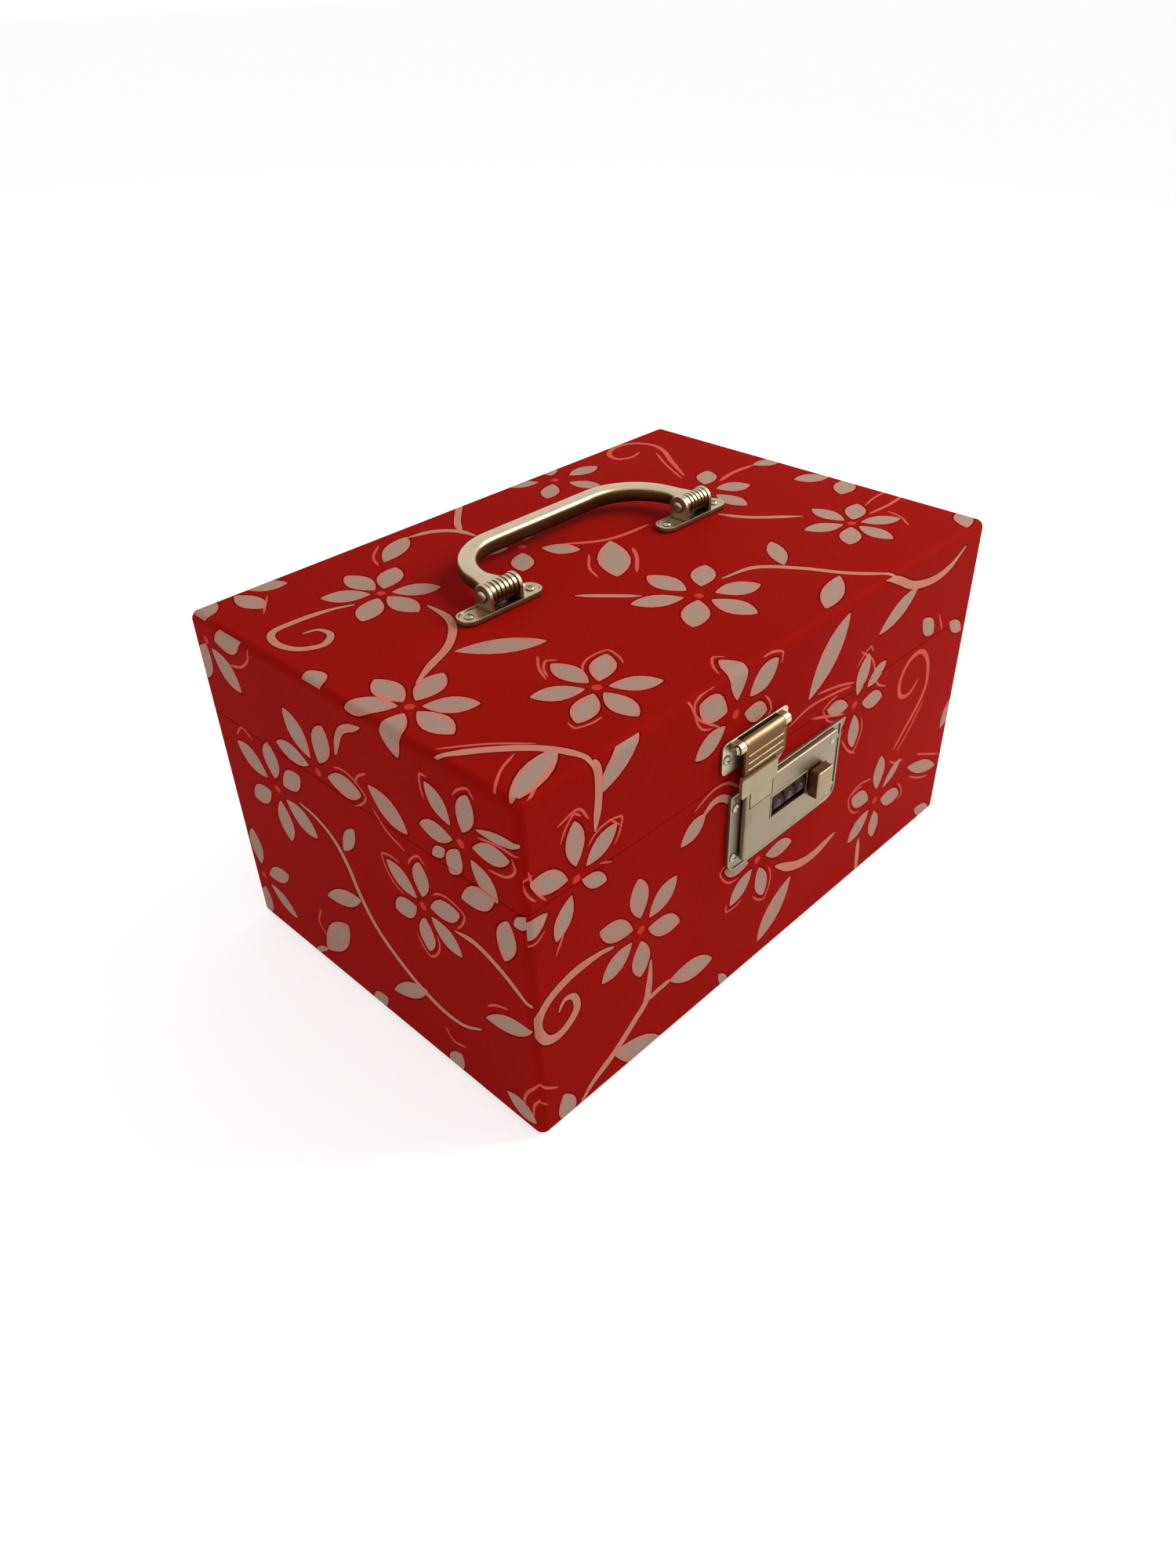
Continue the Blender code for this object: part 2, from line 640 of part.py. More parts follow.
def build_mirror(top, pivot):
    """A mirror under the lid, held by a frame with a lip below the glass."""
    half_x, half_y = MIRROR_LENGTH / 2, MIRROR_DEPTH / 2
    glass_low = (-half_x, -half_y, top - MIRROR_THICKNESS)
    glass = box("mirror_glass", glass_low, (half_x, half_y, top))
    finish(glass, "mirror_glass", MIRROR_SILVER, pivot)
    bottom = top - MIRROR_THICKNESS - SEAT_GAP - MIRROR_FRAME_UNDER
    outer_x, outer_y = half_x + MIRROR_FRAME_WIDTH, half_y + MIRROR_FRAME_WIDTH
    edge = rounded_rectangle((-outer_x, -outer_y), (outer_x, outer_y), [MIRROR_FRAME_RADIUS] * 4)
    sight_x, sight_y = half_x - MIRROR_FRAME_LIP, half_y - MIRROR_FRAME_LIP
    sight = rounded_rectangle((-sight_x, -sight_y), (sight_x, sight_y), [MIRROR_FRAME_LIP] * 4)
    frame = plate("mirror_frame", "top", bottom, top, edge, [sight])
    rebate_low = (-half_x - SEAT_GAP, -half_y - SEAT_GAP, top - MIRROR_THICKNESS - SEAT_GAP)
    rebate = box("mirror_rebate", rebate_low, (half_x + SEAT_GAP, half_y + SEAT_GAP, top + OVERRUN))
    finish(cut(frame, rebate), "mirror_frame", PALE_GOLD, pivot)


def hinge_leaf(name, x, upward, knuckles, pivot, *pierced):
    """One leaf of a hinge on the back: a plate with prongs into the board, knuckles and a pin hole."""
    clear = HINGE_BARREL_RADIUS + SEAT_GAP
    near, far = HINGE_AXIS.z + upward * clear, HINGE_AXIS.z + upward * HINGE_LEAF_HEIGHT
    inner_y, outer_y = BACK + SEAT_GAP, BACK + SEAT_GAP + HINGE_LEAF_THICKNESS
    half = HINGE_LENGTH / 2
    leaf = box(name, (x - half, inner_y, min(near, far)), (x + half, outer_y, max(near, far)))
    for index, (start, end) in enumerate(knuckles):
        overlap = near + upward * HINGE_LEAF_THICKNESS
        low_z, high_z = min(HINGE_AXIS.z, overlap), max(HINGE_AXIS.z, overlap)
        web = box(f"{name}_web_{index}", (x + start, inner_y, low_z), (x + end, outer_y, high_z))
        barrel = rod(
            f"{name}_barrel_{index}",
            HINGE_BARREL_RADIUS,
            (x + start, HINGE_AXIS.y, HINGE_AXIS.z),
            (x + end, HINGE_AXIS.y, HINGE_AXIS.z),
        )
        weld_on(leaf, web, barrel)
    prong_z = (near + far) / 2
    prongs, holes = [], []
    for dx in (-HINGE_PRONG_SPACING / 2, HINGE_PRONG_SPACING / 2):
        root = Vector((x + dx, outer_y - HINGE_LEAF_THICKNESS / 2, prong_z))
        prongs.append((root, root - AXIS_Y * HINGE_PRONG_LENGTH))
        holes.append((root + AXIS_Y * OVERRUN, root - AXIS_Y * (HINGE_PRONG_LENGTH + SEAT_GAP)))
    weld_on(leaf, rods(name + "_prongs", HINGE_PRONG_RADIUS, prongs))
    prong_holes = rods(name + "_prong_holes", HINGE_PRONG_RADIUS + SEAT_GAP, holes)
    for piece in pierced:
        cut(piece, prong_holes)
    reach = half + OVERRUN
    bore_radius = HINGE_PIN_RADIUS + SEAT_GAP
    ends = [(x + side * reach, HINGE_AXIS.y, HINGE_AXIS.z) for side in (-1, 1)]
    cut(leaf, rod(name + "_bore", bore_radius, *ends, sides=SMALL_SIDES))
    return finish(leaf, name, STEEL, pivot)


def build_hinges(base_walls, base_cover, lid_walls, lid_cover, pivot):
    """Two hinges on the back and their pins."""
    middle = HINGE_MIDDLE_LENGTH / 2
    half = HINGE_LENGTH / 2
    outer_knuckles = [(-half, -middle - SEAT_GAP), (middle + SEAT_GAP, half)]
    length = (half + SEAT_GAP) * 2
    reach = HALF_LENGTH - HINGE_END_INSET
    for side, x in (("left", -reach), ("right", reach)):
        base_name, lid_name = f"hinge_base_leaf_{side}", f"hinge_lid_leaf_{side}"
        hinge_leaf(base_name, x, -1, outer_knuckles, None, base_walls["back"], base_cover)
        hinge_leaf(lid_name, x, 1, [(-middle, middle)], pivot, lid_walls["back"], lid_cover)
        place = (x, HINGE_AXIS.y, HINGE_AXIS.z)
        pin = headed_pin("pin", HINGE_PIN_RADIUS, HINGE_PIN_HEAD_RADIUS, HINGE_PIN_HEAD, length, place)
        finish(pin, f"hinge_pin_{side}", STEEL)


def ear_outline(bottom):
    """An upright ear seen from the side: a flat foot and a round head about the handle's axis."""
    centre = (HANDLE_AXIS.y, HANDLE_AXIS.z)
    points = [(HANDLE_AXIS.y - BRACKET_EAR_RADIUS, bottom), (HANDLE_AXIS.y + BRACKET_EAR_RADIUS, bottom)]
    return points + arc(centre, BRACKET_EAR_RADIUS, 0, 180, BEND_STEPS)


def build_handle(lid_panel, lid_cover, lid_pivot, handle_pivot):
    """Two brackets on the lid, the folding handle between them, its pins and the screws."""
    foot = BOX_HEIGHT + SEAT_GAP
    ear_inner = HANDLE_EYE_LENGTH / 2 + SEAT_GAP
    ear_outer = ear_inner + BRACKET_EAR_THICKNESS
    bore = HANDLE_PIN_RADIUS + SEAT_GAP
    centres = {"left": -HANDLE_SPACING / 2, "right": HANDLE_SPACING / 2}
    brackets = []
    for side, x in centres.items():
        name = f"handle_bracket_{side}"
        half_x, half_y = BRACKET_LENGTH / 2, BRACKET_DEPTH / 2
        edge = rounded_rectangle(
            (x - half_x, HANDLE_AXIS.y - half_y), (x + half_x, HANDLE_AXIS.y + half_y), [half_y - WELD * 2] * 4
        )
        bracket = plate(name, "top", foot, foot + BRACKET_THICKNESS, edge)
        for turn in (-1, 1):
            near, far = x + turn * ear_inner, x + turn * ear_outer
            outline = ear_outline(foot + BRACKET_THICKNESS / 2)
            weld_on(bracket, plate(f"{name}_ear_{turn}", "side", min(near, far), max(near, far), outline))
        ends = [(x + turn * (ear_outer + OVERRUN), HANDLE_AXIS.y, HANDLE_AXIS.z) for turn in (-1, 1)]
        cut(bracket, rod(name + "_bore", bore, *ends, sides=SMALL_SIDES))
        brackets.append(finish(smooth(bracket), name, PALE_GOLD, lid_pivot))
        place = (x, HANDLE_AXIS.y, HANDLE_AXIS.z)
        length = (ear_outer + SEAT_GAP) * 2
        pin = headed_pin("pin", HANDLE_PIN_RADIUS, HANDLE_PIN_HEAD_RADIUS, HANDLE_PIN_HEAD, length, place)
        finish(pin, f"handle_pin_{side}", PALE_GOLD, lid_pivot)
    halves = (-BRACKET_SCREW_SPACING / 2, BRACKET_SCREW_SPACING / 2)
    seats = [(x + dx, HANDLE_AXIS.y, foot + BRACKET_THICKNESS) for x in centres.values() for dx in halves]
    screws("bracket_screw", seats, AXIS_Z, lid_pivot, *brackets, lid_panel, lid_cover)
    build_bail(handle_pivot)


def bail_path():
    """The handle's centre line, from one eye round to the other, lying back along +Y."""
    half, reach, bend = HANDLE_SPACING / 2, HANDLE_REACH, HANDLE_BEND_RADIUS
    start_y = HANDLE_AXIS.y
    corner_y = start_y + reach - bend
    points = [(half, start_y), (half, (start_y + corner_y) / 2)]
    points += arc((half - bend, corner_y), bend, 0, 90, BEND_STEPS)
    mirrored = [(-x, y) for x, y in reversed(points)]
    return points + [(0, start_y + reach)] + mirrored


def build_bail(pivot):
    """The folding handle: a strap bent round between two eyes, thicker along its grip."""
    half_w, half_t = HANDLE_WIDTH / 2, HANDLE_THICKNESS / 2
    section = bpy.data.curves.new("handle_section", "CURVE")
    section.dimensions = "2D"
    outline = rounded_rectangle((-half_w, -half_t), (half_w, half_t), [HANDLE_EDGE_RADIUS] * 4, 2)
    spline = section.splines.new("POLY")
    spline.points.add(len(outline) - 1)
    for point, (u, v) in zip(spline.points, outline):
        point.co = (u, v, 0, 1)
    spline.use_cyclic_u = True
    profile = add_object("handle_section", section)
    path = bail_path()
    curve = bpy.data.curves.new("handle_path", "CURVE")
    curve.dimensions = "3D"
    curve.twist_mode = "Z_UP"
    curve.bevel_mode = "OBJECT"
    curve.bevel_object = profile
    curve.use_fill_caps = True
    spline = curve.splines.new("POLY")
    spline.points.add(len(path) - 1)
    for point, (x, y) in zip(spline.points, path):
        point.co = (x, y, HANDLE_AXIS.z, 1)
        along_grip = min(1, (y - HANDLE_AXIS.y) / HANDLE_REACH)
        point.radius = HANDLE_TAPER_SHARE + (HANDLE_SWELL_SHARE - HANDLE_TAPER_SHARE) * along_grip
    bail = add_object("bail", evaluated_mesh(add_object("handle_path", curve), "bail"))
    half_eye = HANDLE_EYE_LENGTH / 2
    for side in (-1, 1):
        x = side * HANDLE_SPACING / 2
        ends = [(x + turn * half_eye, HANDLE_AXIS.y, HANDLE_AXIS.z) for turn in (-1, 1)]
        weld_on(bail, rod(f"handle_eye_{side}", HANDLE_EYE_RADIUS, *ends))
        ends = [(x + turn * (half_eye + OVERRUN), HANDLE_AXIS.y, HANDLE_AXIS.z) for turn in (-1, 1)]
        bore = HANDLE_PIN_RADIUS + SEAT_GAP
        cut(bail, rod(f"handle_eye_bore_{side}", bore, *ends, sides=SMALL_SIDES))
    bpy.data.objects.remove(profile, do_unlink=True)
    return finish(smooth(bail), "carry_handle", PALE_GOLD, pivot)


def case_opening(name, clearance, near, far):
    """A cutter of the lock case's outline, which goes through plate, fabric and board."""
    low = (CASE_LEFT - clearance, near, DIAL_AXIS.z - CASE_HALF_HEIGHT - clearance)
    return box(name, low, (CASE_RIGHT + clearance, far, DIAL_AXIS.z + CASE_HALF_HEIGHT + clearance))


def spring_line():
    """Where the latch spring runs: the height of its axis and its two ends along X."""
    right = BUTTON_LEFT - SEAT_GAP
    height = BUTTON_TOP - BUTTON_HEIGHT - SPRING_TAB_DROP + SPRING_RADIUS
    return height, right - SPRING_LENGTH, right


def build_lock_body(front_wall, cover):
    """The lock plate on the front, its cap, and the case set into the wall."""
    half = LOCK_PLATE_LENGTH / 2
    bottom = LOCK_TOP - LOCK_PLATE_HEIGHT
    round_end, plain_end = LOCK_PLATE_RADIUS, LOCK_PLATE_RADIUS / 3
    edge = rounded_rectangle((-half, bottom), (half, LOCK_TOP), [round_end, round_end, plain_end, plain_end])
    lock_plate = plate("lock_plate", "front", LOCK_FRONT, LOCK_BACK, edge)
    opening = case_opening("case_opening", SEAT_GAP, LOCK_FRONT - OVERRUN, OVERRUN - INNER_HALF_DEPTH)
    slot_low = (FOOT_LEFT - RUNNING_GAP, LOCK_FRONT - OVERRUN, TONGUE_BOTTOM - RUNNING_GAP * 2)
    slot_high = (FOOT_RIGHT + RUNNING_GAP, LOCK_BACK + SEAT_GAP / 2, LOCK_TOP + OVERRUN)
    slot = box("staple_slot", slot_low, slot_high)
    post_z, post_right, _ = spring_line()
    post_low = (post_right - SPRING_RADIUS * 2 - SEAT_GAP, LOCK_FRONT - CAP_DEPTH / 2, post_z - SPRING_RADIUS)
    post_high = (post_right - SEAT_GAP, LOCK_FRONT + LOCK_PLATE_THICKNESS / 2, post_z + SPRING_RADIUS)
    cut(lock_plate, opening, slot)
    weld_on(lock_plate, box("spring_post", post_low, post_high))
    cut(front_wall, opening)
    cut(cover, opening)
    finish(smooth(lock_plate), "lock_base_plate", PALE_GOLD)
    inset_x, inset_z = half - LOCK_SCREW_INSET, LOCK_SCREW_HEIGHT_INSET
    seats = [(side * inset_x, LOCK_FRONT, z) for side in (-1, 1) for z in (bottom + inset_z, LOCK_TOP - inset_z)]
    screws("lock_screw", seats, -AXIS_Y, None, lock_plate, front_wall, cover)
    build_cap()
    build_case()


def build_cap():
    """The raised cap over the lock: a window, the button's slot and a notch for the hasp."""
    half = CAP_LENGTH / 2
    bottom = CAP_TOP - CAP_HEIGHT
    outer = box("cap", (-half, CAP_FACE, bottom), (half, CAP_BACK, CAP_TOP), CAP_EDGE_RADIUS, 2)
    wall = CAP_WALL
    room_low = (-half + wall, CAP_FACE + wall, bottom + wall)
    room = box("cap_room", room_low, (half - wall, CAP_BACK + OVERRUN, CAP_TOP - wall))
    window_half = DIAL_BANK_HALF + WINDOW_SIDE_MARGIN
    window_rise = DIAL_RADIUS + WINDOW_HEIGHT_MARGIN
    window_low = (DIAL_BANK_X - window_half, CAP_FACE - OVERRUN, DIAL_AXIS.z - window_rise)
    window_high = (DIAL_BANK_X + window_half, CAP_BACK, DIAL_AXIS.z + window_rise)
    neck_left = BUTTON_LEFT + (BUTTON_LENGTH - NECK_LENGTH) / 2
    neck_bottom = BUTTON_TOP - (BUTTON_HEIGHT + NECK_HEIGHT) / 2
    slot_low = (neck_left - SEAT_GAP, CAP_FACE - OVERRUN, neck_bottom - SEAT_GAP)
    slot_right = neck_left + NECK_LENGTH + BUTTON_TRAVEL + SEAT_GAP
    slot_high = (slot_right, CAP_BACK, neck_bottom + NECK_HEIGHT + SEAT_GAP)
    tongue_half = HASP_TONGUE_LENGTH / 2 + RUNNING_GAP
    notch_low = (ARM_X - tongue_half, CAP_FACE - OVERRUN, TONGUE_BOTTOM - RUNNING_GAP)
    notch_high = (ARM_X + tongue_half, CAP_BACK + OVERRUN, CAP_TOP + OVERRUN)
    cutters_made = [
        room,
        box("cap_window", window_low, window_high),
        box("cap_slot", slot_low, slot_high),
        box("cap_notch", notch_low, notch_high),
    ]
    finish(cut(outer, *cutters_made), "lock_cap", PALE_GOLD)


def build_case():
    """The case set into the wall, the dial shaft across it, the dial springs and the latch spring."""
    case = case_opening("case", 0, CASE_FRONT, CASE_REAR)
    low = (CASE_LEFT + CASE_WALL, CASE_FRONT - OVERRUN, DIAL_AXIS.z - CASE_HALF_HEIGHT + CASE_WALL)
    high = (CASE_RIGHT - CASE_WALL, CASE_REAR - CASE_BACK, DIAL_AXIS.z + CASE_HALF_HEIGHT - CASE_WALL)
    shaft_ends = [(CASE_LEFT + SEAT_GAP, *DIAL_AXIS.yz), (CASE_RIGHT - SEAT_GAP, *DIAL_AXIS.yz)]
    bore_ends = [(CASE_LEFT - OVERRUN, *DIAL_AXIS.yz), (CASE_RIGHT + OVERRUN, *DIAL_AXIS.yz)]
    bore = rod("shaft_bore", SHAFT_RADIUS + SEAT_GAP, *bore_ends, sides=SMALL_SIDES)
    finish(cut(case, box("case_room", low, high), bore), "lock_case", STEEL)
    shaft = rod("shaft", SHAFT_RADIUS, *shaft_ends, sides=SMALL_SIDES)
    finish(smooth(shaft), "dial_shaft", STEEL)
    strip_low = (DIAL_BANK_X - DIAL_BANK_HALF, DIAL_AXIS.y + SHAFT_RADIUS, low[2] + SEAT_GAP)
    strip_top = strip_low[2] + DETENT_THICKNESS
    strip_high = (DIAL_BANK_X + DIAL_BANK_HALF, strip_low[1] + DETENT_DEPTH, strip_top)
    strip = box("dial_springs", strip_low, strip_high)
    toe_top = DIAL_AXIS.z - DIAL_RADIUS - SEAT_GAP
    for x in dial_centres():
        toe_low = (x - DETENT_TOE, DIAL_AXIS.y - DETENT_TOE, strip_low[2])
        toe_high = (x + DETENT_TOE, strip_low[1] + DETENT_TOE, toe_top)
        weld_on(strip, box("dial_spring_toe", toe_low, toe_high))
    finish(strip, "dial_springs", STEEL)
    height, left, right = spring_line()
    finish(coil("latch_spring", height, left, right), "latch_spring", STEEL)


def coil(name, height, left, right):
    """The latch spring: one wire wound along X, between the post and the slide's tab."""
    curve = bpy.data.curves.new(name, "CURVE")
    curve.dimensions = "3D"
    curve.bevel_depth = SPRING_WIRE_RADIUS
    curve.bevel_resolution = 0
    curve.use_fill_caps = True
    count = SPRING_TURNS * SPRING_POINTS_PER_TURN + 1
    spline = curve.splines.new("POLY")
    spline.points.add(count - 1)
    winding = SPRING_RADIUS - SPRING_WIRE_RADIUS
    middle = (LOCK_FRONT + CAP_FACE + CAP_WALL) / 2
    for index, point in enumerate(spline.points):
        turn = math.tau * index / SPRING_POINTS_PER_TURN
        x = left + (right - left) * index / (count - 1)
        point.co = (x, middle + winding * math.cos(turn), height + winding * math.sin(turn), 1)
    obj = add_object(name, curve)
    return add_object(name, evaluated_mesh(obj, name))


def dial_centres():
    """The middle of each dial along X."""
    first = DIAL_BANK_X - DIAL_PITCH * (DIAL_COUNT - 1) / 2
    return [first + DIAL_PITCH * index for index in range(DIAL_COUNT)]


def toothed_outline():
    """A dial's rim, with a shallow groove between each pair of teeth."""
    points = []
    for index in range(DIAL_TEETH * 2):
        radius = DIAL_RADIUS - DIAL_TOOTH_DEPTH * (index % 2)
        angle = math.tau * index / (DIAL_TEETH * 2)
        points.append((DIAL_AXIS.y + radius * math.cos(angle), DIAL_AXIS.z + radius * math.sin(angle)))
    return points


def build_dials(pivots):
    """The number dials, each turning by itself on the shaft."""
    centre = (DIAL_AXIS.y, DIAL_AXIS.z)
    bore = arc(centre, SHAFT_RADIUS + SEAT_GAP, 0, 360, SMALL_SIDES)[:-1]
    for index, (x, pivot) in enumerate(zip(dial_centres(), pivots), 1):
        half = DIAL_WIDTH / 2
        dial = plate("dial", "side", x - half, x + half, toothed_outline(), [bore])
        finish(dial, f"number_dial_{index}", DIAL_BLACK, pivot)


def build_button(pivot):
    """The slide button: a head outside the cap, a neck through it, and the bolt behind it."""
    bolt_front = CAP_FACE + CAP_WALL + SEAT_GAP
    bolt_back = bolt_front + BOLT_THICKNESS
    bolt_top = CAP_TOP - BOLT_DROP + SEAT_GAP
    bolt_bottom = bolt_top - BOLT_HEIGHT
    nose = FOOT_RIGHT + BOLT_STANDOFF
    tab_bottom = BUTTON_TOP - BUTTON_HEIGHT - SPRING_TAB_DROP
    tab_right = BUTTON_LEFT + SPRING_TAB_LENGTH
    body_bottom = BUTTON_TOP - BUTTON_HEIGHT
    body_right = BUTTON_LEFT + SLIDE_LENGTH
    outline = [
        (nose, bolt_bottom),
        (BUTTON_LEFT, bolt_bottom),
        (BUTTON_LEFT, tab_bottom),
        (tab_right, tab_bottom),
        (tab_right, body_bottom),
        (body_right, body_bottom),
        (body_right, bolt_top),
        (nose, bolt_top),
    ]
    slide = plate("slide", "front", bolt_front, bolt_back, outline)
    head_back = CAP_FACE - SEAT_GAP
    head_low = (BUTTON_LEFT, head_back - BUTTON_STAND, BUTTON_TOP - BUTTON_HEIGHT)
    head_high = (BUTTON_LEFT + BUTTON_LENGTH, head_back, BUTTON_TOP)
    head = box("button_head", head_low, head_high, BUTTON_EDGE_RADIUS, 2)
    neck_left = BUTTON_LEFT + (BUTTON_LENGTH - NECK_LENGTH) / 2
    neck_bottom = BUTTON_TOP - (BUTTON_HEIGHT + NECK_HEIGHT) / 2
    neck_low = (neck_left, head_back - BUTTON_EDGE_RADIUS, neck_bottom)
    neck_high = (neck_left + NECK_LENGTH, bolt_back - BOLT_THICKNESS / 2, neck_bottom + NECK_HEIGHT)
    weld_on(slide, box("button_neck", neck_low, neck_high), head)
    finish(slide, "slide_button", PALE_GOLD, pivot)


def build_hasp_plate(front_wall, cover, pivot):
    """The hinge plate of the hasp on the lid, its end knuckles, pin and screws."""
    back = FRONT - SEAT_GAP
    face = back - HASP_PLATE_THICKNESS
    low_z = SEAM_HEIGHT + HASP_PLATE_RISE
    half = HASP_PLATE_LENGTH / 2
    edge = rounded_rectangle(
        (HASP_X - half, low_z), (HASP_X + half, low_z + HASP_PLATE_HEIGHT), [HASP_PLATE_RADIUS] * 4
    )
    hinge_plate = plate("hasp_plate", "front", face, back, edge)
    middle = HASP_MIDDLE_LENGTH / 2 + SEAT_GAP
    end = middle + HASP_END_LENGTH
    for side in (-1, 1):
        near, far = sorted((HASP_X + side * middle, HASP_X + side * end))
        web_low = (near, HASP_AXIS.y, HASP_AXIS.z - HASP_BARREL_RADIUS)
        web_high = (far, back - HASP_PLATE_THICKNESS / 2, HASP_AXIS.z + HASP_BARREL_RADIUS)
        barrel = rod("hasp_end_barrel", HASP_BARREL_RADIUS, (near, *HASP_AXIS.yz), (far, *HASP_AXIS.yz))
        weld_on(hinge_plate, box("hasp_end_web", web_low, web_high), barrel)
    ends = [(HASP_X + side * (end + OVERRUN), *HASP_AXIS.yz) for side in (-1, 1)]
    cut(hinge_plate, rod("hasp_plate_bore", HASP_PIN_RADIUS + SEAT_GAP, *ends, sides=SMALL_SIDES))
    finish(smooth(hinge_plate), "hasp_hinge_plate", PALE_GOLD, pivot)
    length = (end + SEAT_GAP) * 2
    pin = headed_pin("pin", HASP_PIN_RADIUS, HASP_PIN_HEAD_RADIUS, HASP_PIN_HEAD, length, HASP_AXIS)
    finish(pin, "hasp_pin", PALE_GOLD, pivot)
    screw_left = HASP_X - half + HASP_SCREW_INSET
    low_seat = low_z + HASP_PLATE_HEIGHT - HASP_AXIS_RISE + HASP_PLATE_RISE
    seats = [(screw_left, face, low_z + HASP_SCREW_HEIGHT), (HASP_X, face, low_seat)]
    screws("hasp_screw", seats, -AXIS_Y, pivot, hinge_plate, front_wall, cover)


def build_hasp(pivot):
    """The hasp: a knuckle, an arm, a wider flap, a tongue in the cap's notch and the staple's foot."""
    half_arm = HASP_ARM_LENGTH / 2
    arm_back = HASP_AXIS.y
    arm_face = arm_back - HASP_ARM_THICKNESS
    arm_top = HASP_AXIS.z - HASP_BARREL_RADIUS - SEAT_GAP
    flap_bottom = CAP_TOP + RUNNING_GAP
    flap_top = flap_bottom + HASP_FLAP_HEIGHT
    flap_left, flap_right = FLAP_X - HASP_FLAP_LENGTH / 2, FLAP_X + HASP_FLAP_LENGTH / 2
    chamfer = HASP_SHIFT * 2
    outline = [
        (flap_left + chamfer, flap_top - chamfer),
        (flap_right, flap_top - chamfer),
        (ARM_X + half_arm, flap_top),
        (ARM_X + half_arm, arm_top),
        (ARM_X - half_arm, arm_top),
        (ARM_X - half_arm, flap_top),
    ]
    hasp = plate("hasp", "front", arm_face, arm_back, outline)
    middle = HASP_MIDDLE_LENGTH / 2
    web_left = max(HASP_X - middle, ARM_X - half_arm)
    web_low = (web_left, arm_face, arm_top - HASP_ARM_THICKNESS)
    web_high = (HASP_X + middle, arm_back, HASP_AXIS.z)
    ends = [(HASP_X - middle, *HASP_AXIS.yz), (HASP_X + middle, *HASP_AXIS.yz)]
    barrel = rod("hasp_barrel", HASP_BARREL_RADIUS, *ends)
    flap_back = arm_back - HASP_ARM_THICKNESS / 3
    radii = [HASP_FLAP_RADIUS] * 4
    flap_edge = rounded_rectangle((flap_left, flap_bottom), (flap_right, flap_top), radii)
    flap = plate("hasp_flap", "front", flap_back - HASP_FLAP_THICKNESS, flap_back, flap_edge)
    half_tongue = HASP_TONGUE_LENGTH / 2
    tongue_low = (ARM_X - half_tongue, CAP_FACE, TONGUE_BOTTOM)
    tongue_high = (ARM_X + half_tongue, CAP_FACE + CAP_WALL, flap_bottom + HASP_FLAP_THICKNESS)
    bridge_low = (ARM_X - half_tongue, flap_back - HASP_FLAP_THICKNESS, flap_bottom)
    bridge_high = (flap_right, CAP_FACE + CAP_WALL, flap_bottom + HASP_FLAP_THICKNESS)
    neck_low = (FOOT_LEFT, FOOT_BACK - STAPLE_FOOT_THICKNESS, TONGUE_BOTTOM)
    neck_high = (FOOT_LEFT + STAPLE_NECK_LENGTH, FOOT_BACK, TONGUE_BOTTOM + STAPLE_FOOT_HEIGHT)
    stem_low = (neck_low[0], CAP_FACE + CAP_WALL / 2, TONGUE_BOTTOM)
    stem_high = (neck_high[0], FOOT_BACK, neck_high[2])
    foot_high = (FOOT_RIGHT, FOOT_BACK, neck_high[2])
    pieces = [
        box("hasp_web", web_low, web_high),
        barrel,
        flap,
        box("hasp_tongue", tongue_low, tongue_high),
        box("hasp_bridge", bridge_low, bridge_high),
        box("staple_stem", stem_low, stem_high),
        box("staple_foot", neck_low, foot_high),
    ]
    weld_on(hasp, *pieces)
    reach = middle + OVERRUN
    bore_ends = [(HASP_X + side * reach, *HASP_AXIS.yz) for side in (-1, 1)]
    cut(hasp, rod("hasp_bore", HASP_PIN_RADIUS + SEAT_GAP, *bore_ends, sides=SMALL_SIDES))
    finish(hasp, "hasp", PALE_GOLD, pivot)


def build_tray(pivot):
    """The sliding tray: a floor, a frame of four boards, and dividers joined across each other."""
    outer_x = LIP_HALF_LENGTH - LIP_THICKNESS - RUNNING_GAP
    back = LIP_HALF_DEPTH - LIP_THICKNESS - TRAY_STOP_GAP
    front = back - TRAY_DEPTH
    bottom = RUNNER_TOP + SEAT_GAP
    floor_top = bottom + TRAY_BOARD
    wall_bottom, top = floor_top + SEAT_GAP, bottom + TRAY_HEIGHT
    floor = box("floor", (-outer_x, front, bottom), (outer_x, back, floor_top))
    finish(floor, "tray_floor", LINING_CLOTH, pivot)
    inner_x, inner_front, inner_back = outer_x - TRAY_BOARD, front + TRAY_BOARD, back - TRAY_BOARD
    frame = box("frame", (-outer_x, front, wall_bottom), (outer_x, back, top))
    room_low = (-inner_x, inner_front, wall_bottom - OVERRUN)
    cut(frame, box("frame_room", room_low, (inner_x, inner_back, top + OVERRUN)))
    finish(frame, "tray_walls", LINING_CLOTH, pivot)
    divider_top = top - TRAY_DIVIDER_DROP
    long_x = inner_x - SEAT_GAP
    long_front = inner_front + TRAY_FRONT_ROOM
    long_back = long_front + TRAY_DIVIDER
    dividers = box("dividers", (-long_x, long_front, wall_bottom), (long_x, long_back, divider_top))
    pitch = inner_x * 2 / TRAY_COMPARTMENTS
    for index in range(1, TRAY_COMPARTMENTS):
        x = -inner_x + pitch * index
        low = (x - TRAY_DIVIDER / 2, long_back - TRAY_DIVIDER / 2, wall_bottom)
        high = (x + TRAY_DIVIDER / 2, inner_back - SEAT_GAP, divider_top)
        weld_on(dividers, box("short_divider", low, high))
    finish(dividers, "tray_dividers", LINING_CLOTH, pivot)


def tray_centre():
    """The middle of the tray's floor, which the tray's joint starts from."""
    back = LIP_HALF_DEPTH - LIP_THICKNESS - TRAY_STOP_GAP
    return Vector((0, back - TRAY_DEPTH / 2, RUNNER_TOP + SEAT_GAP))


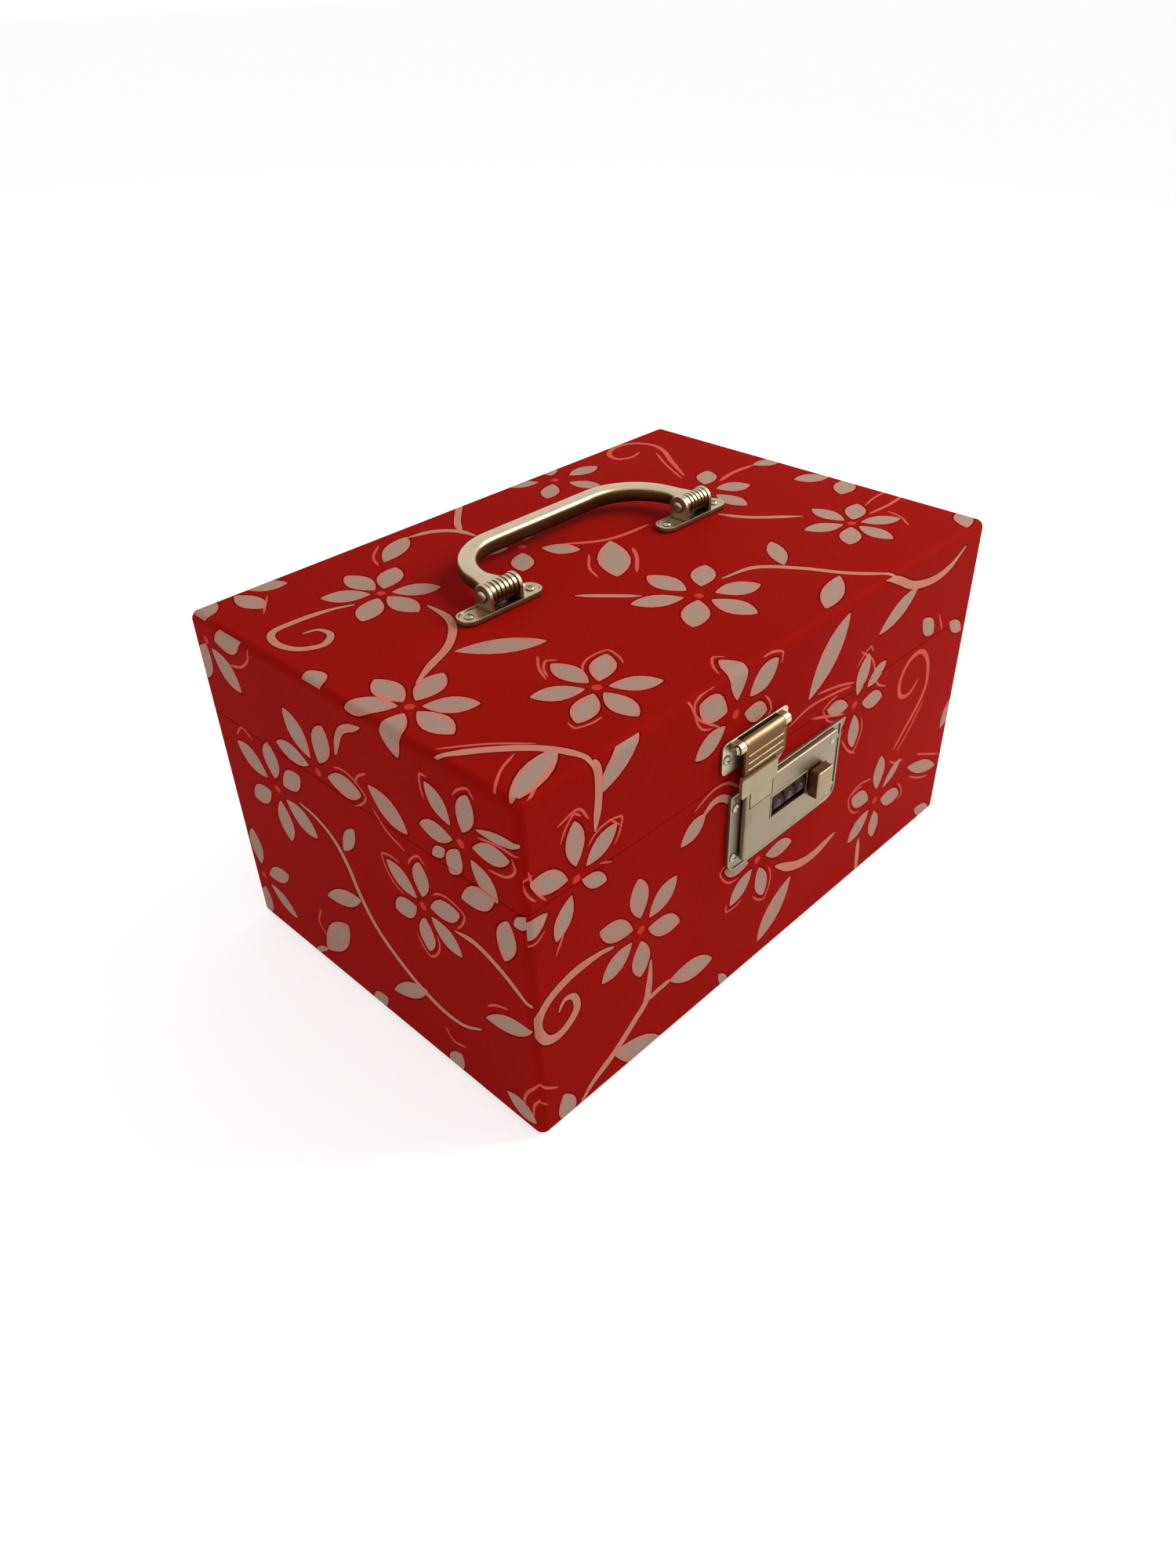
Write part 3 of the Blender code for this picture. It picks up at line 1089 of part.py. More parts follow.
clear_scene()
parts = new_collection("makeup_box")
cutters = new_collection("cutters")
board_block = shell_block("board_block", BOARD_INSET, EDGE_RADIUS - BOARD_INSET)

lid_pivot = joint_empty("lid_hinge_axis", HINGE_AXIS)
handle_pivot = joint_empty("handle_axis", HANDLE_AXIS)
hasp_pivot = joint_empty("hasp_axis", HASP_AXIS)
tray_pivot = joint_empty("tray_slide", tray_centre())
dial_pivots = [joint_empty(f"dial_axis_{i}", (x, *DIAL_AXIS.yz)) for i, x in enumerate(dial_centres(), 1)]
button_pivot = joint_empty("button_slide", (BUTTON_LEFT, CAP_FACE, BUTTON_TOP))

base_walls, base_cover = build_base()
lid_walls, lid_cover, lid_panel = build_lid(lid_pivot)
build_hinges(base_walls, base_cover, lid_walls, lid_cover, lid_pivot)
build_handle(lid_panel, lid_cover, lid_pivot, handle_pivot)
build_lock_body(base_walls["front"], base_cover)
build_dials(dial_pivots)
build_button(button_pivot)
build_hasp_plate(lid_walls["front"], lid_cover, lid_pivot)
build_hasp(hasp_pivot)
build_tray(tray_pivot)
bpy.context.view_layer.update()
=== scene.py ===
"""Dressed model of a cloth-covered makeup box with a folding handle and a dial lock.

The sizes of the box's own parts are in millimetres. Meshes, finishes, lamps and the camera are in
metres.
"""

import json
import logging
import math
from dataclasses import dataclass, field
from enum import Enum
from functools import cached_property
from typing import Any, Callable, Iterable, Sequence

import bmesh
import bpy
from mathutils import Matrix, Vector
from mathutils.geometry import delaunay_2d_cdt, interpolate_bezier

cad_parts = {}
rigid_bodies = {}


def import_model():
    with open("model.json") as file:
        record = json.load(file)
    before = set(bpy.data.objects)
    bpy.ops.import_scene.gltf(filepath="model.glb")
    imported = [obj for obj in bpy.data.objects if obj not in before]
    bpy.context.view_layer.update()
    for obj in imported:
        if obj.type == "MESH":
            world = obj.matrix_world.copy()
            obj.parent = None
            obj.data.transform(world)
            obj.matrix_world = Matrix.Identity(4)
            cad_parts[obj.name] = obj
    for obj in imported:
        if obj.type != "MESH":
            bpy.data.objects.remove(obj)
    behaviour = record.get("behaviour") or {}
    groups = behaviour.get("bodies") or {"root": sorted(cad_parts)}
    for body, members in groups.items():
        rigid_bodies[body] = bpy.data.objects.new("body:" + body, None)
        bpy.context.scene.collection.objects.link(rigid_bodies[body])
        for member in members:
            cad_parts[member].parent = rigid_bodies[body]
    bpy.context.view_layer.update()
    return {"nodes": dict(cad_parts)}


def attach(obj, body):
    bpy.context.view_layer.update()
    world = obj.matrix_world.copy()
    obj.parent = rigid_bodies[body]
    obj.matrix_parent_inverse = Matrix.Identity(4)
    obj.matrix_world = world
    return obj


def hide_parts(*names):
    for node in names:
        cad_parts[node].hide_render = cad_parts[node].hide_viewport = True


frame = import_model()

MM = 0.001
METAL = "gold_metal"

log = logging.getLogger("makeup_box")

Point = tuple[float, float]
Place = tuple[float, float, float]
Colour = tuple[float, float, float]
Outline = tuple[Point, ...]
Surface = Callable[[float, float], tuple[Vector, Vector]]

WHITE: Colour = (1.0, 1.0, 1.0)


# Colours and shader nodes


def srgb(red: int, green: int, blue: int) -> Colour:
    """The linear values that shaders take for a colour as a screen shows it, 0 to 255."""
    shares = (value / 255 for value in (red, green, blue))
    return tuple(s / 12.92 if s <= 0.04045 else ((s + 0.055) / 1.055) ** 2.4 for s in shares)


class Wire:
    """One output of a shader node. Arithmetic on it adds Math nodes."""

    def __init__(self, shader: "Shader", socket: bpy.types.NodeSocket) -> None:
        """Keeps the socket and the shader that it belongs to."""
        self.shader = shader
        self.socket = socket

    def maths(self, operation: str, *values: Any) -> "Wire":
        """The output of a new Math node with these inputs."""
        return self.shader.node("Math", {"operation": operation}, dict(enumerate(values)))

    def __add__(self, other: Any) -> "Wire":
        """self + other."""
        return self.maths("ADD", self, other)

    def __mul__(self, other: Any) -> "Wire":
        """self * other."""
        return self.maths("MULTIPLY", self, other)

    def __sub__(self, other: Any) -> "Wire":
        """self - other."""
        return self.maths("SUBTRACT", self, other)

    def __rsub__(self, other: Any) -> "Wire":
        """other - self."""
        return self.maths("SUBTRACT", other, self)

    __radd__ = __add__
    __rmul__ = __mul__

    def between(self, low: float, high: float) -> "Wire":
        """0 below low, 1 above high and a smooth step between them."""
        return self.shader.node("MapRange", {"interpolation_type": "SMOOTHSTEP"}, {0: self, 1: low, 2: high})


class Shader:
    """A material or a world being built."""

    def __init__(self, tree: bpy.types.NodeTree) -> None:
        """Empties the tree."""
        self.tree = tree
        tree.nodes.clear()

    def node(
        self, kind: str, settings: dict | None = None, inputs: dict | None = None, output: Any = 0
    ) -> Wire | None:
        """Adds any node.

        Args:
            kind: the node's type without the word ShaderNode.
            settings: its settings.
            inputs: values or wires by socket name or number.
            output: the output to return, by name or number.

        Returns:
            That output, or None where the node has none.
        """
        node = self.tree.nodes.new("ShaderNode" + kind)
        for name, value in (settings or {}).items():
            setattr(node, name, value)
        for name, value in (inputs or {}).items():
            socket = node.inputs[name]
            if isinstance(value, Wire):
                self.tree.links.new(value.socket, socket)
            elif socket.type == "RGBA":
                socket.default_value = (*value, 1.0)
            else:
                socket.default_value = value
        return Wire(self, node.outputs[output]) if len(node.outputs) else None

    def mix(self, factor: Any, first: Any, second: Any) -> Wire:
        """Two colours or wires mixed, with factor as the second's share."""
        # A Mix node takes colours at its sockets 6 and 7 and gives the mixed one at its output 2.
        return self.node("Mix", {"data_type": "RGBA"}, {0: factor, 6: first, 7: second}, 2)

    def place(self, source: str, scale: Place = (1.0, 1.0, 1.0), turn: float = 0.0) -> Wire:
        """Texture coordinates, scaled and turned.

        Args:
            source: UV or Object.
            scale: the three scales.
            turn: degrees about the third axis.

        Returns:
            The coordinates.
        """
        where = self.node("TexCoord", output=source)
        spin = (0.0, 0.0, math.radians(turn))
        return self.node("Mapping", inputs={"Vector": where, "Scale": scale, "Rotation": spin})

    def noise(self, where: Wire, scale: float, detail: float = 2.0, roughness: float = 0.5) -> Wire:
        """Noise from 0 to 1, with scale lumps per unit and detail octaves."""
        inputs = {"Vector": where, "Scale": scale, "Detail": detail, "Roughness": roughness}
        return self.node("TexNoise", inputs=inputs)

    def bump(self, height: Wire, strength: float, distance: float) -> Wire:
        """A normal from a height of 0 to 1, where 1 stands for a distance in metres."""
        return self.node("Bump", inputs={"Strength": strength, "Distance": distance, "Height": height})

    def seen(self) -> Wire:
        """Tells what the camera sees, directly, mirrored or through glass.

        Returns:
            1 for what is seen so, and 0 otherwise.
        """
        kinds = ("Is Camera Ray", "Is Glossy Ray", "Is Transmission Ray")
        camera, mirrored, through = (self.node("LightPath", output=kind) for kind in kinds)
        return camera.maths("MAXIMUM", camera.maths("MAXIMUM", camera, mirrored), through)

    def surface(self, **sockets: Any) -> None:
        """Ends in a Principled shader with these inputs, named with _ for a space."""
        named = {name.replace("_", " "): value for name, value in sockets.items()}
        self.node("OutputMaterial", inputs={"Surface": self.node("BsdfPrincipled", inputs=named)})


@dataclass(frozen=True)
class Finish:
    """A named look. Each kind of finish says how it is painted."""

    name: str

    def paint(self, shader: Shader) -> None:
        """Adds the nodes."""
        raise NotImplementedError

    @cached_property
    def material(self) -> bpy.types.Material:
        """The material, made once.

        Returns:
            The material.
        """
        material = bpy.data.materials.new(self.name)
        material.use_nodes = True
        self.paint(Shader(material.node_tree))
        return material


@dataclass(frozen=True)
class PrintedCotton(Finish):
    """Closely woven cotton, dyed red and printed. The print's colours are in the mesh."""

    threads_per_metre: float = 1500.0
    fade: Colour = srgb(186, 34, 20)
    shade: Colour = srgb(96, 6, 6)

    def weave(self, shader: Shader) -> Wire:
        """Over-and-under threads.

        Args:
            shader: the material being built.

        Returns:
            Their height, from 0 to 1.
        """
        where = shader.place("UV")
        inputs = {"Vector": where, "Scale": self.threads_per_metre / 4, "Distortion": 0.35, "Detail": 1.0}
        warp, weft = (shader.node("TexWave", {"bands_direction": way}, inputs, 1) for way in "XY")
        fuzz = shader.noise(where, self.threads_per_metre * 0.8, 3.0)
        return warp * 0.4 + weft * 0.4 + fuzz * 0.3

    def paint(self, shader: Shader) -> None:
        """Adds the nodes.

        Args:
            shader: the material being built.
        """
        dye = shader.node("Attribute", {"attribute_name": "dye"})
        cloud = shader.noise(shader.place("Object"), 9.0, 3.0)
        slub = shader.noise(shader.place("UV", (60.0, 900.0, 1.0)), 1.0)
        weave = self.weave(shader)
        worn = shader.mix(cloud.between(0.42, 0.8) * 0.17, dye, self.fade)
        sunk = (1 - weave).between(0.35, 0.9) * 0.16 + slub.between(0.55, 0.9) * 0.08
        shader.surface(
            Base_Color=shader.mix(sunk, worn, self.shade),
            Roughness=0.62 + weave * 0.18,
            Specular_IOR_Level=0.06,
            IOR=1.3,
            Normal=shader.bump(weave, 0.45, 0.00018),
        )


@dataclass(frozen=True)
class Velvet(Finish):
    """Short-piled velveteen, as linings and trays are covered with."""

    pile: Colour = srgb(74, 8, 16)
    crushed: Colour = srgb(112, 18, 28)
    lint: float = 0.04

    def paint(self, shader: Shader) -> None:
        """Adds the nodes.

        Args:
            shader: the material being built.
        """
        where = shader.place("Object")
        brushed = shader.noise(shader.place("Object", (1.0, 0.55, 1.4), 24.0), 38.0, 3.0, 0.6)
        pile = shader.noise(where, 2600.0)
        colour = shader.mix(brushed.between(0.30, 0.95) * 0.6 + pile * 0.3, self.pile, self.crushed)
        specks = shader.noise(where, 900.0, 1.0).between(0.74, 0.80)
        shader.surface(
            Base_Color=shader.mix(specks * self.lint, colour, srgb(190, 170, 160)),
            Roughness=0.82 + pile * 0.14,
            Specular_IOR_Level=0.15,
            Sheen_Weight=0.55,
            Sheen_Roughness=0.35,
            Sheen_Tint=srgb(214, 96, 96),
            Normal=shader.bump(pile, 0.5, 0.00025),
        )


@dataclass(frozen=True)
class Card(Finish):
    """Grey-brown pressed board."""

    light: Colour = srgb(176, 156, 128)
    dark: Colour = srgb(132, 112, 88)

    def paint(self, shader: Shader) -> None:
        """Adds the nodes.

        Args:
            shader: the material being built.
        """
        fibre = shader.noise(shader.place("Object", (1.0, 1.0, 6.0)), 420.0, 4.0, 0.7)
        blotch = shader.noise(shader.place("Object"), 30.0, 3.0)
        shader.surface(
            Base_Color=shader.mix(fibre * 0.7 + blotch * 0.3, self.dark, self.light),
            Roughness=0.78 + fibre * 0.15,
            Normal=shader.bump(fibre, 0.3, 0.0002),
        )


@dataclass(frozen=True)
class Plating(Finish):
    """Thin bright plating on pressed or cast metal, tarnished in its corners, with painted shade on the faces
    turned away from the light.

    Faces turned the lit way by more than a cutoff stay bright. The rest get painted shade, darker the further
    they turn away, at a set rate. Below a set height, in the piece's own frame, they get only a tenth of that
    painted shade.
    """

    bright: Colour
    tarnish: Colour
    deep: Colour = srgb(58, 40, 18)
    gloss: float = 0.26
    hands: Place = (0.0, 0.0, 1.0)
    rubbed: float = 0.73
    dulling: float = 0.4
    polished: float = -1.0
    stain_share: float = 0.35
    crevice: float = 0.0022

    def paint(self, shader: Shader) -> None:
        """Adds the nodes.

        Args:
            shader: the material being built.
        """
        where = shader.place("Object")
        bloom = shader.noise(where, 90.0, 4.0, 0.62)
        rubs = shader.noise(shader.place("Object", (40.0, 260.0, 260.0), 18.0), 6.0, 3.0, 0.6)
        pits = shader.noise(where, 1500.0)
        # Painted shade: a face is darkened the further it turns from the lit way, and below a set height only
        # a tenth as much.
        facing = shader.node("TexCoord", output="Normal")
        toward_lit = shader.node("VectorMath", {"operation": "DOT_PRODUCT"}, {0: facing, 1: self.hands}, "Value")
        height = shader.node("SeparateXYZ", inputs={0: where}, output="Z")
        above_shade_line = (height - self.polished).between(0.0, 0.0008)
        facing_shade = ((self.rubbed - toward_lit) * self.dulling).between(0.0, 1.0) * (above_shade_line * 0.9 + 0.1)
        open_air = shader.node("AmbientOcclusion", {"samples": 6}, {"Distance": self.crevice}, "AO")
        corner = (1 - open_air).between(0.18, 0.75)
        stain = bloom.between(0.42, 0.78) * self.stain_share
        # Painted shade together with real stains and the tarnish in corners.
        tarnish_and_shade = (facing_shade + stain + corner * 0.5).between(0.0, 1.0)
        # The deepest painted shade and the tarnish in hollows, both going toward the deep colour.
        sunk = corner * 0.75 + facing_shade.between(0.55, 1.0) * 0.45
        colour = shader.mix(tarnish_and_shade, self.bright, self.tarnish)
        shader.surface(
            Base_Color=shader.mix(sunk.between(0.0, 1.0), colour, self.deep),
            Metallic=1.0,
            Roughness=self.gloss + tarnish_and_shade * 0.14 + rubs * 0.08,
            Normal=shader.bump(rubs * 0.5 + pits * 0.5, 0.10, 0.00006),
        )


@dataclass(frozen=True)
class Moulding(Finish):
    """Smooth moulded plastic or paint."""

    colour: Colour
    edge: Colour
    gloss: float = 0.5
    shine: float = 0.2

    def paint(self, shader: Shader) -> None:
        """Adds the nodes.

        Args:
            shader: the material being built.
        """
        where = shader.place("Object")
        haze = shader.noise(where, 1800.0)
        shader.surface(
            Base_Color=shader.mix(shader.noise(where, 260.0, 3.0).between(0.4, 0.75), self.colour, self.edge),
            Roughness=self.gloss + haze * 0.18,
            Specular_IOR_Level=self.shine,
            Normal=shader.bump(haze, 0.15, 0.00005),
        )


@dataclass(frozen=True)
class Silvering(Finish):
    """Mirror glass with a faint haze of dust."""

    silver: Colour = srgb(226, 230, 232)

    def paint(self, shader: Shader) -> None:
        """Adds the nodes.

        Args:
            shader: the material being built.
        """
        dust = shader.noise(shader.place("Object"), 55.0, 5.0, 0.7).between(0.52, 0.86)
        shader.surface(
            Base_Color=shader.mix(dust * 0.08, self.silver, srgb(200, 200, 196)),
            Metallic=1.0,
            Roughness=0.015 + dust * 0.05,
            Coat_Weight=0.3,
        )


@dataclass(frozen=True)
class FloorPaper(Finish):
    """Pale paper that looks white where no shadow falls."""

    colour: Colour = srgb(236, 236, 236)
    glow: float = 0.59

    def paint(self, shader: Shader) -> None:
        """Adds the nodes.

        Args:
            shader: the material being built.
        """
        diffuse = shader.node("BsdfDiffuse", inputs={"Color": self.colour})
        glow = shader.node("Emission", inputs={"Color": WHITE, "Strength": self.glow})
        lit = shader.node("AddShader", inputs={0: diffuse, 1: glow})
        both = shader.node("MixShader", inputs={0: shader.seen(), 1: diffuse, 2: lit})
        shader.node("OutputMaterial", inputs={"Surface": both})


CLOTH = PrintedCotton("printed_cotton")
VELVET = Velvet("dark_red_velveteen")
FELT = Velvet("black_felt", srgb(22, 20, 20), srgb(38, 34, 34), 0.08)
CARD = Card("pressed_board")
# Each plating darkens the faces turned away from its lit way with painted shade.
GOLD = Plating("pale_gold_plating", srgb(139, 127, 104), srgb(112, 92, 68), gloss=0.38, dulling=0.26)
# The handle: light on top, with dark brown painted shade on its sides.
HANDLE_GOLD = Plating(
    "handle_plating", srgb(200, 180, 148), srgb(98, 74, 40), gloss=0.24, rubbed=0.86, dulling=1.6
)
BRACKET_GOLD = Plating("bracket_plating", srgb(190, 172, 142), srgb(104, 80, 46), dulling=0.8)
# The hasp: painted shade above its shade line, most on sides and undersides and a little even on upward
# faces; the flap below gets a tenth of it.
HASP_GOLD = Plating(
    "hasp_plating", srgb(150, 138, 106), srgb(128, 87, 50), gloss=0.4, rubbed=1.2, dulling=0.7,
    polished=0.1218,
)
# The button: light on its front face, with painted shade on its top and sides.
BUTTON_GOLD = Plating(
    "button_plating", srgb(143, 123, 91), srgb(104, 74, 40), gloss=0.3, hands=(0.0, -1.0, 0.0),
    dulling=1.2, crevice=0.0008,
)
HINGE_PLATE = Plating("hinge_plating", srgb(190, 178, 146), srgb(112, 98, 66), gloss=0.32, dulling=0.3)
STEEL = Plating("bare_steel", srgb(186, 186, 182), srgb(120, 116, 108), gloss=0.34, dulling=0.2)
SCREW_GOLD = Plating("screw_plating", srgb(176, 170, 148), srgb(96, 88, 62), gloss=0.24, dulling=0.3)
DIAL = Moulding("dial_plastic", srgb(32, 14, 10), srgb(50, 24, 18))
DIGIT = Moulding("digit_paint", srgb(150, 104, 92), srgb(122, 78, 68))
MIRROR = Silvering("mirror_silver")


# Pieces


def linked(name: str, data: bpy.types.ID) -> bpy.types.Object:
    """Puts a new object in the scene.

    Args:
        name: its name.
        data: its mesh, curve, lamp or camera.

    Returns:
        The object.
    """
    obj = bpy.data.objects.new(name, data)
    bpy.context.scene.collection.objects.link(obj)
    return obj


def as_piece(
    name: str, mesh: bpy.types.Mesh, body: str, slot: str, node: str, *finishes: Finish
) -> bpy.types.Object:
    """Links a mesh as a piece of the object.

    Args:
        name: the piece's name.
        mesh: its mesh, in the row frame.
        body: the body it rides on.
        slot: the record's material slot; not used.
        node: the CAD node it stands for, if any.
        finishes: one finish for each material number in the mesh.

    Returns:
        The new object.
    """
    obj = linked(name, mesh)
    for finish in finishes:
        mesh.materials.append(finish.material)
    if node:
        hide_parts(node)
    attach(obj, body)
    log.info("%s: %d faces, on %s", name, len(mesh.polygons), body)
    return obj


# The print on the cloth


class Ink(Enum):
    """The print's parts, in the order that one lies over another, each with its colour."""

    GROUND = (0, srgb(154, 13, 5))
    OUTLINE = (1, srgb(94, 12, 8))
    LINE = (2, srgb(210, 92, 78))
    STEM = (3, srgb(206, 130, 108))
    PETAL = (4, srgb(216, 122, 104))
    HEART = (5, srgb(172, 145, 128))
    DOT = (6, srgb(206, 60, 50))
    HOLE = (7, srgb(0, 0, 0))


@dataclass(frozen=True)
class Shape:
    """A closed outline in one ink."""

    ink: Ink
    outline: Outline

    def reaches(self, low: Point, high: Point) -> bool:
        """Whether it reaches into a rectangle."""
        us, vs = zip(*self.outline)
        return max(us) > low[0] and min(us) < high[0] and max(vs) > low[1] and min(vs) < high[1]

    def stands_in(self, left: float, right: float, height: float) -> bool:
        """Whether its middle is between left and right and its top is above a height."""
        us, vs = zip(*self.outline)
        return max(vs) > height and left < sum(us) / len(us) < right


def joined_sides(left: Sequence[Vector], right: Sequence[Vector]) -> Outline:
    """The outline up one side and back down the other."""
    return tuple((p.x, p.y) for p in [*left, *reversed(right)])


def almond(tail: Point, tip: Point, width: float, grow: float = 0.0) -> Outline:
    """The outline of a petal or leaf: full-sided, with a small point at each end.

    Args:
        tail: its inner end.
        tip: its outer end.
        width: its greatest width.
        grow: how far to enlarge it on every side.

    Returns:
        The outline, in millimetres.
    """
    steps, end_growth, lean, fullness = 10, 1.2, 1.08, 0.74
    start, end = Vector(tail), Vector(tip)
    along = (end - start).normalized()
    across = Vector((-along.y, along.x))
    start, end = start - along * grow * end_growth, end + along * grow * end_growth
    half = width / 2 + grow
    left, right = [], []
    for index in range(steps + 1):
        share = 0.5 - math.cos(math.pi * index / steps) / 2
        swell = math.sin(math.pi * share**lean) ** fullness if 0 < index < steps else 0.0
        centre = start.lerp(end, share)
        left.append(centre + across * half * swell)
        right.append(centre - across * half * swell)
    return joined_sides(left, right[1:-1])


def smooth_line(points: Sequence[Point], spacing: float = 2.0) -> list[Vector]:
    """A smooth line through points, with new points about a spacing apart.

    Args:
        points: where it passes.
        spacing: about how far apart the new points are.

    Returns:
        The points of the line.
    """
    knots = [Vector(p) for p in points]
    if len(knots) < 3:
        count = max(2, round((knots[1] - knots[0]).length / spacing / 2))
        return [knots[0].lerp(knots[1], i / count) for i in range(count + 1)]
    ends = [knots[0] * 2 - knots[1], *knots, knots[-1] * 2 - knots[-2]]
    line = [knots[0]]
    for before, start, end, after in zip(ends, ends[1:], ends[2:], ends[3:]):
        count = max(2, round((end - start).length / spacing))
        pull = (end - before) / 6, (after - start) / 6
        curve = interpolate_bezier(start, start + pull[0], end - pull[1], end, count + 1)
        line += [Vector(p[:2]) for p in curve[1:]]
    return line


def stroke(points: Sequence[Point], width: float, taper: float = 0.35, grow: float = 0.0) -> Outline:
    """The outline of a brush stroke.

    Args:
        points: where it passes.
        width: its width at the middle.
        taper: the ends' share of the width.
        grow: how far to enlarge it on every side.

    Returns:
        The outline, in millimetres.
    """
    swelling, tip_share, tip_reach = 3.2, 0.55, 0.5
    line = smooth_line(points)
    last = len(line) - 1
    left, right = [], []
    for index, point in enumerate(line):
        run = (line[min(index + 1, last)] - line[max(index - 1, 0)]).normalized()
        across = Vector((-run.y, run.x))
        fullness = min(1.0, taper + swelling * min(index, last - index) / last)
        half = width / 2 * fullness + grow
        if index in (0, last):
            point = point + run * (grow + half * tip_reach) * (1 if index else -1)
            half *= tip_share
        left.append(point + across * half)
        right.append(point - across * half)
    return joined_sides(left, right)


@dataclass(frozen=True)
class FacePrint:
    """What is printed on one face, in millimetres on that face.

    rings are (x, y, reach, width, haloes, angles); blooms are (x, y, haloes, petals) with each
    petal as (x, y, width, length) of its middle; haloes names the petals with a line round them,
    counted from 0; petals are (x, y, width, length, angle);
    leaves are (x, y, x, y, width); stems and lines are (width, point, point, ...).
    rim is the width of a dark edge, near where a ring's petals start, and halo how far a loose line
    stands off its petal.
    """

    rings: tuple = ()
    blooms: tuple = ()
    petals: tuple = ()
    leaves: tuple = ()
    stems: tuple = ()
    lines: tuple = ()

    rim: float = 0.8
    stem_rim_share: float = 0.8
    line_taper: float = 0.5
    near: float = 4.4
    halo: float = 2.5
    halo_width: float = 1.0
    halo_taper: float = 0.6
    heart_share: float = 0.15
    heart_inset: float = 0.9
    dot_radius: float = 2.0
    dot_sides: int = 10

    def shapes(self) -> list[Shape]:
        """Draws the face's print.

        Returns:
            Its outlines.
        """
        found: list[Shape] = []
        for x, y, reach, width, haloes, angles in self.rings:
            for index, angle in enumerate(angles):
                spoke = self._spoke(x, y, angle, self.near, reach)
                found += self._petal(*spoke, width) + self._halo(*spoke, width, haloes, index)
            found.append(self._dot(x, y))
        for x, y, haloes, petals in self.blooms:
            for index, (px, py, width, length) in enumerate(petals):
                angle = math.degrees(math.atan2(py - y, px - x))
                spoke = self._spoke(px, py, angle, -length / 2, length / 2)
                found += self._petal(*spoke, width) + self._halo(*spoke, width, haloes, index)
            found.append(self._dot(x, y))
        for x, y, width, length, angle in self.petals:
            found += self._petal(*self._spoke(x, y, angle, -length / 2, length / 2), width)
        for x0, y0, x1, y1, width in self.leaves:
            found += self._petal((x0, y0), (x1, y1), width)
        for width, *points in self.stems:
            rim = self.rim * self.stem_rim_share
            found.append(Shape(Ink.OUTLINE, stroke(points, width, grow=rim)))
            found.append(Shape(Ink.STEM, stroke(points, width)))
        taper = self.line_taper
        return found + [Shape(Ink.LINE, stroke(points, width, taper)) for width, *points in self.lines]

    @staticmethod
    def _spoke(x: float, y: float, angle: float, near: float, far: float) -> tuple[Point, Point]:
        """Finds a petal's ends on a line through a point.

        Args:
            x: the point's x.
            y: the point's y.
            angle: the line's direction, in degrees.
            near: how far along it the petal starts.
            far: how far along it the petal ends.

        Returns:
            The two ends.
        """
        run = Vector((math.cos(math.radians(angle)), math.sin(math.radians(angle))))
        middle = Vector((x, y))
        return tuple(middle + run * near), tuple(middle + run * far)

    def _petal(self, tail: Point, tip: Point, width: float) -> list[Shape]:
        """A petal or leaf with its dark edge and pale middle.

        Args:
            tail: its inner end.
            tip: its outer end.
            width: its greatest width.

        Returns:
            Its three shapes.
        """
        heart = -width * self.heart_share - self.heart_inset
        growths = {Ink.OUTLINE: self.rim, Ink.PETAL: 0.0, Ink.HEART: heart}
        return [Shape(ink, almond(tail, tip, width, grow)) for ink, grow in growths.items()]

    def _halo(self, tail: Point, tip: Point, width: float, haloes: str, index: int) -> list[Shape]:
        """The loose light line round a petal's outer end, where the flower has one there.

        Args:
            tail: its inner end.
            tip: its outer end.
            width: its greatest width.
            haloes: the numbers of the petals that have one.
            index: the petal's number.

        Returns:
            The line, or nothing.
        """
        if str(index) not in haloes:
            return []
        ring = almond(tail, tip, width, self.halo)
        long, short = slice(4, 15), slice(6, 13)
        part = ring[long if index % 2 else short]
        return [Shape(Ink.LINE, stroke(part, self.halo_width, self.halo_taper))]

    def _dot(self, x: float, y: float) -> Shape:
        """The dot at a flower's heart.

        Args:
            x: its x.
            y: its y.

        Returns:
            The dot.
        """
        turns = (math.tau * i / self.dot_sides for i in range(self.dot_sides))
        radius = self.dot_radius
        return Shape(Ink.DOT, tuple((x + radius * math.cos(a), y + radius * math.sin(a)) for a in turns))


def carried(shapes: Iterable[Shape], move: Callable[[Point], Point]) -> list[Shape]:
    """Shapes moved to another face, where move gives a point's new place."""
    return [Shape(s.ink, tuple(move(p) for p in s.outline)) for s in shapes]


